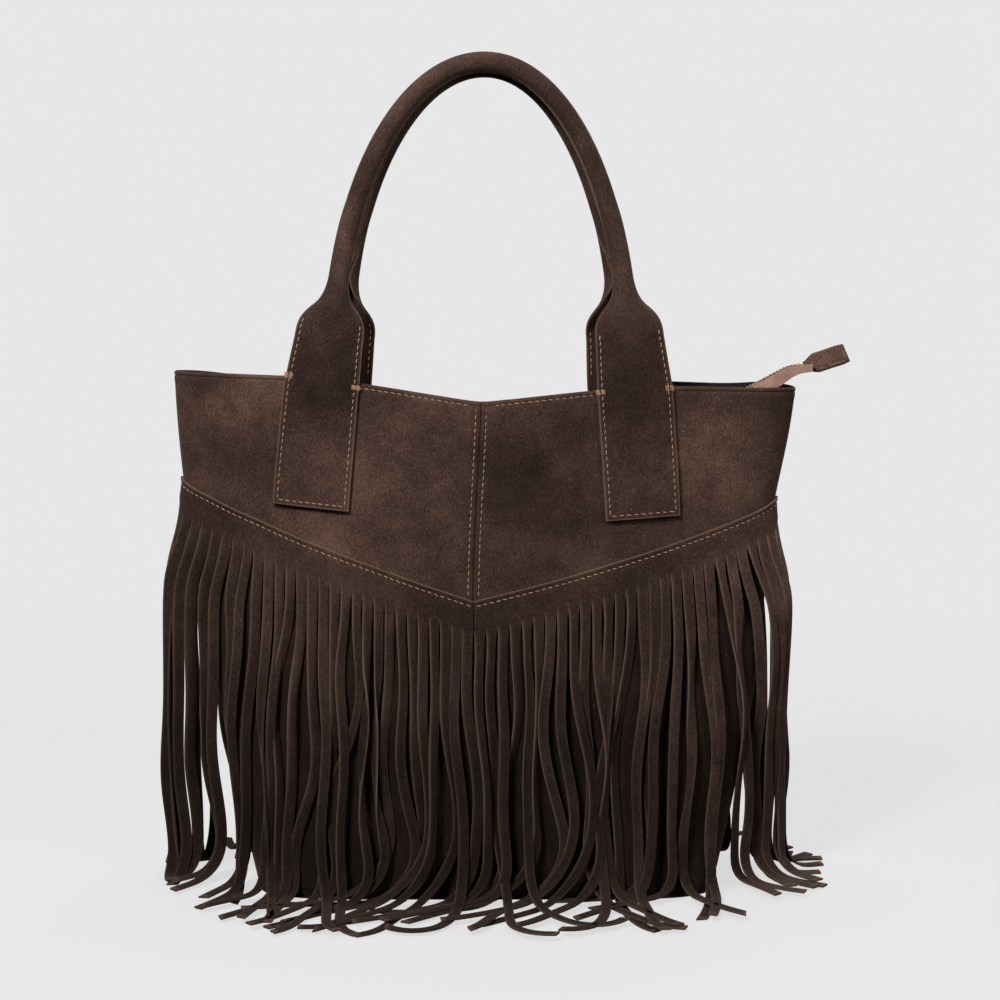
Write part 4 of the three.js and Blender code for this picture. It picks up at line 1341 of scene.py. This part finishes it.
def joinBlocks(name, blocks, finish):
    deselect()
    for block in blocks:
        block.select_set(True)
    bpy.context.view_layer.objects.active = blocks[0]
    bpy.ops.object.join()
    piece = bpy.context.object
    piece.name = piece.data.name = name
    piece.data.materials.clear()
    piece.data.materials.append(finish)
    piece.data.shade_smooth()
    piece.data.set_sharp_from_angle(angle=math.radians(40))
    deselect()
    return piece


def makeTeeth(face, side):
    zm = zipMake
    x = np.linspace(zm["leftX"], zm["tailEnd"], 600)
    toothed = tapeLines(side, x)[0]
    run = lineRun(toothed)
    tooth = roundedBlock(zm["tooth"], (0, -side * 1.1, 0), 0.28, 1)
    count = int(np.interp(zm["chainEnd"], x, run) / zm["toothPitch"])
    copies = []
    for k in range(count):
        at = (k + (0.25 if side < 0 else 0.75)) * zm["toothPitch"]
        centre, ahead = [
            Vector([float(np.interp(s, run, toothed[:, i])) for i in range(3)]) for s in (at, at + 1)
        ]
        way = (ahead - centre).normalized()
        sideways = Vector((0, 1, 0)) - way * way.y
        sideways.normalize()
        up = way.cross(sideways)
        copy = bpy.data.objects.new("tooth", tooth.data.copy())
        copy.data.transform(Matrix((way, sideways, up)).transposed().to_4x4())
        moveBy(copy, centre)
        bpy.context.scene.collection.objects.link(copy)
        copies.append(copy)
    bpy.data.objects.remove(tooth)
    piece = joinBlocks(f"zipTeeth{face.capitalize()}", copies, agedBrass)
    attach(piece, "bag")
    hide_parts(f"zip_teeth_{face}")


sliderMake = {
    "x": 146.0,
    "length": 11.0,
    "width": 8.6,
    "plate": 1.1,
    "inside": 3.4,
    "pullHole": 5.7,
    "pullHalf": (13.0, 3.5),
    "pullThickness": 1.3,
    "pullAbove": 4.0,
}
tailTurn = Matrix.Rotation(-math.atan(zipMake["slope"]), 4, "Y")


def onTail(x, piece):
    piece.data.transform(tailTurn)
    moveBy(piece, (x, 0, float(ridge(x))))


def makeSlider():
    sm = sliderMake
    top = sm["inside"] / 2 + sm["plate"] / 2
    plates = []
    for up in (top, -top):
        plate = roundedBlock((sm["length"], sm["width"], sm["plate"]), (sm["length"] / 2, 0, up), 0.4, 3)
        for vertex in plate.data.vertices:  # narrower at the end that shuts the teeth
            share = vertex.co.x / (sm["length"] * mm)
            waist = 0.82 + 0.18 * math.sin(math.pi * min(1, share * 1.1)) ** 0.5 if 0 < share < 0.95 else 0.8
            vertex.co.y *= waist
        plates.append(plate)
    post = roundedBlock((2.8, 1.5, sm["inside"] + 0.4), (1.6, 0, 0), 0.3)
    legs = [roundedBlock((1.1, 2.2, 3.4), (x, 0, 4.4), 0.3) for x in (2.95, 8.05)]
    roof = roundedBlock((6.2, 2.2, 1.1), (5.5, 0, 5.95), 0.35, 3)
    slider = joinBlocks("zipSlider", plates + [post, roof] + legs, agedBrass)
    onTail(sm["x"], slider)
    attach(slider, "slider")
    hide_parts("zip_slider")


def makePull():
    sm = sliderMake
    deselect()
    bpy.ops.mesh.primitive_cylinder_add(vertices=48, radius=1, depth=1)
    tag = bpy.context.object
    hole, (halfLength, halfWidth) = sm["pullHole"], sm["pullHalf"]
    for vertex in tag.data.vertices:
        x, y, z = vertex.co
        x = hole - 12.3 + halfLength * math.copysign(abs(x) ** 0.75, x)
        y = halfWidth * math.copysign(abs(y) ** 0.6, y)
        vertex.co = Vector((x, y, z * sm["pullThickness"])) * mm
    cutter = roundedBlock((6.2, 3.6, 6), (hole - 3.8, 0, 0), 0.8, 3)
    cut = tag.modifiers.new("hole", "BOOLEAN")
    cut.object = cutter
    cut.operation = "DIFFERENCE"
    bpy.context.view_layer.objects.active = tag
    bpy.ops.object.modifier_apply(modifier=cut.name)
    bpy.data.objects.remove(cutter)
    bev = tag.modifiers.new("bevel", "BEVEL")
    bev.width = 0.25 * mm
    bev.segments = 2
    bev.limit_method = "ANGLE"
    bpy.ops.object.modifier_apply(modifier=bev.name)
    moveBy(tag, (0, 0, sm["pullAbove"]))
    pull = joinBlocks("zipPull", [tag], agedBrass)
    onTail(sm["x"], pull)
    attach(pull, "pull")
    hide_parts("zip_pull")


def makeStops():
    for face, side in (("front", -1), ("back", 1)):
        toothed = tapeLines(side, np.array([zipMake["leftX"]]))[0][0]
        stop = roundedBlock((3, 1.5, 2.6), (toothed[0] - 1.8, toothed[1] - side * 0.75, toothed[2]), 0.35)
        piece = joinBlocks(f"zipTopStop{face.capitalize()}", [stop], agedBrass)
        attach(piece, "bag")
        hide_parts(f"zip_top_stop_{face}")
    clasp = roundedBlock((3.4, 6, 2.6), (0.6, 0, 0), 0.5)
    piece = joinBlocks("zipBottomStop", [clasp], agedBrass)
    at = zipMake["chainEnd"]
    slope = float(ridge(at + 1) - ridge(at - 1)) / 2
    piece.data.transform(Matrix.Rotation(-math.atan(slope), 4, "Y"))
    moveBy(piece, (at, 0, float(ridge(at))))
    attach(piece, "bag")
    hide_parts("zip_bottom_stop")


endTabMake = {
    "start": 203.5,
    "length": 28.5,
    "halfWidth": 7.6,
    "thick": 4.6,
    "roll": math.radians(52),
    "slope": 0.33,
    # painted light: the whole end tab made lighter than the other suede
    "tone": 0.45,
    "stitchPitch": 2.8,
}


def endTabWidth(t):
    return endTabMake["halfWidth"] * (0.45 + 0.55 * smooth(t, 0, 0.32))


def endTabPoint(t, v):
    # t along the tab, v round its section, as one folded leaf with soft edges
    em = endTabMake
    pinch = 0.5 + 0.5 * smooth(t, 0, 0.3)
    width = endTabWidth(t) * (1 - 0.06 * smooth(t, 0.8, 1))
    thick = em["thick"] / 2 * (0.75 + 0.35 * bump(t, 0.12, 0.14)) * (1 - 0.35 * smooth(t, 0.86, 1.0))
    turn = 2 * math.pi * v
    y = width * np.sign(np.cos(turn)) * np.abs(np.cos(turn)) ** 0.5
    z = thick * np.sign(np.sin(turn)) * np.abs(np.sin(turn)) ** 0.8 * pinch
    return np.stack([0.6 + em["length"] * t, y, z], -1)


def makeEndTab():
    em = endTabMake
    t = np.concatenate([[0.0], np.linspace(0.02, 0.98, 30), [1.0]])[:, None]
    v = np.linspace(0, 1, 49)[:-1][None, :]
    t, v = np.broadcast_arrays(t, v)
    body = endTabPoint(t, v)
    body[..., 2] += 0.35 * np.sin(body[..., 0] / 3.1) * np.sin(body[..., 1] / 2.7)
    rows, cols = body.shape[:2]
    faces = ringFaces([(r, r + 1) for r in range(rows - 1)], cols)
    faces.append(list(range(cols)))
    faces.append([(rows - 1) * cols + c for c in range(cols)][::-1])
    marks = np.zeros((rows, cols))
    marks[0] = marks[-1] = 1
    marks[:, 0] = marks[:, cols // 2] = 1
    # painted light lightening the whole tab
    tone = np.full(marks.size, em["tone"])
    piece = meshPiece("zipEndTab", body.reshape(-1, 3), faces, suede, marks.ravel(), sharp=70, shade=tone)
    turned = Matrix.Rotation(em["roll"], 4, "X")
    lift = Matrix.Translation(Vector((0, 0, -3.0)) * mm)
    stitchLines = []
    rnd = random.Random(3)
    for line in (
        [(0.2, y) for y in np.linspace(-4.6, 4.6, 12)],
        [(x, -6.2) for x in np.linspace(0.3, 0.9, 12)],
        [(x, 6.2) for x in np.linspace(0.3, 0.9, 12)],
        [(0.92, y) for y in np.linspace(-5.6, 5.6, 12)],
    ):
        path = []
        for x, y in line:
            share = min(0.98, abs(y) / float(endTabWidth(x)))
            around = math.acos(share ** 2) / (2 * math.pi)
            path.append(endTabPoint(np.array(x), np.array(around if y > 0 else 0.5 - around)))
        normals = np.array([(0, 0, 1)] * len(path), float)
        stitchLines.append(stitchRow(np.array(path), normals, rnd, em["stitchPitch"]))
    points, stitchFaces = joinRows(stitchLines)
    thread = meshPiece("endTabStitches", points, stitchFaces, brownThread)
    rise = Matrix.Rotation(-math.atan(em["slope"]), 4, "Y")
    start = Matrix.Translation(Vector((em["start"], 0, float(ridge(em["start"])) + 0.6)) * mm)
    for part in (piece, thread):
        part.data.transform(start @ rise @ turned @ lift)
        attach(part, "bag")
    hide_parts("zip_end_tab")


makeTape("front", -1)
makeTape("back", 1)
makeTeeth("front", -1)
makeTeeth("back", 1)
makeSlider()
makePull()
makeStops()
makeEndTab()
print("zip made")


studio = {
    "backdrop": 0.80,
    "room": 0.16,
    "domeRadius": 6.0,
    "floorRadius": 1.3,
    "floorGlow": 0.66,
    "floorTone": 0.10,
    "floorFade": (0.35, 1.2),
    "lamps": {  # place, aim, size and power
        "keyLight": ((-0.7, -1.3, 1.5), (0, 0, 0.33), (0.45, 0.45), 45),
        "fillLight": ((1.3, -1.3, 1.0), (0.05, 0, 0.30), (0.7, 0.7), 12),
        "topLight": ((0.1, 0.25, 1.7), (0, 0, 0.35), (0.9, 0.6), 9),
        "backLight": ((0.8, 1.7, 1.2), (0, 0, 0.28), (0.8, 0.8), 14),
    },
    "lens": 75.6,
    "cameraAt": (0.009, -1.35, 0.40),
    "cameraAim": (0.009, 0, 0.247),
}


def aimed(thing, at, aim):
    bpy.context.scene.collection.objects.link(thing)
    thing.location = at
    thing.rotation_euler = (Vector(aim) - Vector(at)).to_track_quat("-Z", "Y").to_euler()


def makeWorld():
    # a lit backdrop behind the bag in a dimmer room
    world = bpy.data.worlds.new("studio")
    world.use_nodes = True
    tree = world.node_tree
    tree.nodes.clear()
    out = tree.nodes.new("ShaderNodeOutputWorld")
    background = tree.nodes.new("ShaderNodeBackground")
    coords = tree.nodes.new("ShaderNodeTexCoord")
    split = tree.nodes.new("ShaderNodeSeparateXYZ")
    tree.links.new(coords.outputs["Generated"], split.inputs[0])
    behind = rangeNode(tree, split.outputs["Y"], 0.2, 0.6, 0.0, 1.0)
    level = rangeNode(tree, mathNode(tree, "ABSOLUTE", split.outputs["Z"], 0), 0.42, 0.62, 1.0, 0.0)
    share = mathNode(tree, "MULTIPLY", behind, level)
    room = rangeNode(tree, split.outputs["Z"], -0.3, 0.3, studio["room"] * 0.5, studio["room"])
    tone = mixNode(tree, share, room, (studio["backdrop"],) * 3)
    tree.links.new(tone, background.inputs["Color"])
    tree.links.new(background.outputs[0], out.inputs[0])
    bpy.context.scene.world = world


def makeBackdrop():
    # a pale dome all round and a pale floor, seen but giving no light, so the lamps alone shape the bag
    bpy.ops.mesh.primitive_uv_sphere_add(segments=64, ring_count=32, radius=studio["domeRadius"])
    dome = bpy.context.object
    dome.name = dome.data.name = "dome"
    bpy.ops.mesh.primitive_circle_add(vertices=128, radius=studio["floorRadius"], fill_type="NGON")
    floor = bpy.context.object
    floor.name = floor.data.name = "floor"
    moveBy(floor, (0, 0, -0.3))
    for piece, tone, glow in ((dome, 0.0, studio["backdrop"]), (floor, studio["floorTone"], studio["floorGlow"])):
        sockets = {
            "Base Color": (tone, tone, tone, 1),
            "Roughness": 1.0,
            "Specular IOR Level": 0.0,
            "Emission Color": (1, 1, 1, 1),
            "Emission Strength": glow,
        }
        finish, tree, shader = newFinish(f"{piece.name}Pale", sockets)
        if piece is floor:  # the floor melts into the backdrop
            reach = tree.nodes.new("ShaderNodeVectorMath")
            reach.operation = "LENGTH"
            tree.links.new(objectCoords(tree), reach.inputs[0])
            fade = rangeNode(tree, reach.outputs["Value"], *studio["floorFade"], 1.0, 0.0)
            tree.links.new(fade, shader.inputs["Alpha"])
        piece.data.materials.append(finish)
        piece.visible_diffuse = piece.visible_glossy = piece.visible_transmission = piece.visible_shadow = False


def softLight(name, at, aim, size, power):
    light = bpy.data.lights.new(name, "AREA")
    light.shape = "RECTANGLE"
    light.size, light.size_y = size
    light.energy = power
    lamp = bpy.data.objects.new(name, light)
    lamp.visible_camera = False
    aimed(lamp, at, aim)


makeWorld()
makeBackdrop()
for lampName, values in studio["lamps"].items():
    softLight(lampName, *values)
bpy.context.scene.view_settings.view_transform = "Standard"

camera = bpy.data.cameras.new("camera")
camera.lens = studio["lens"]
camera.sensor_width = 36
cameraObject = bpy.data.objects.new("camera", camera)
aimed(cameraObject, studio["cameraAt"], studio["cameraAim"])
bpy.context.scene.camera = cameraObject
print("studio made")

print("done")
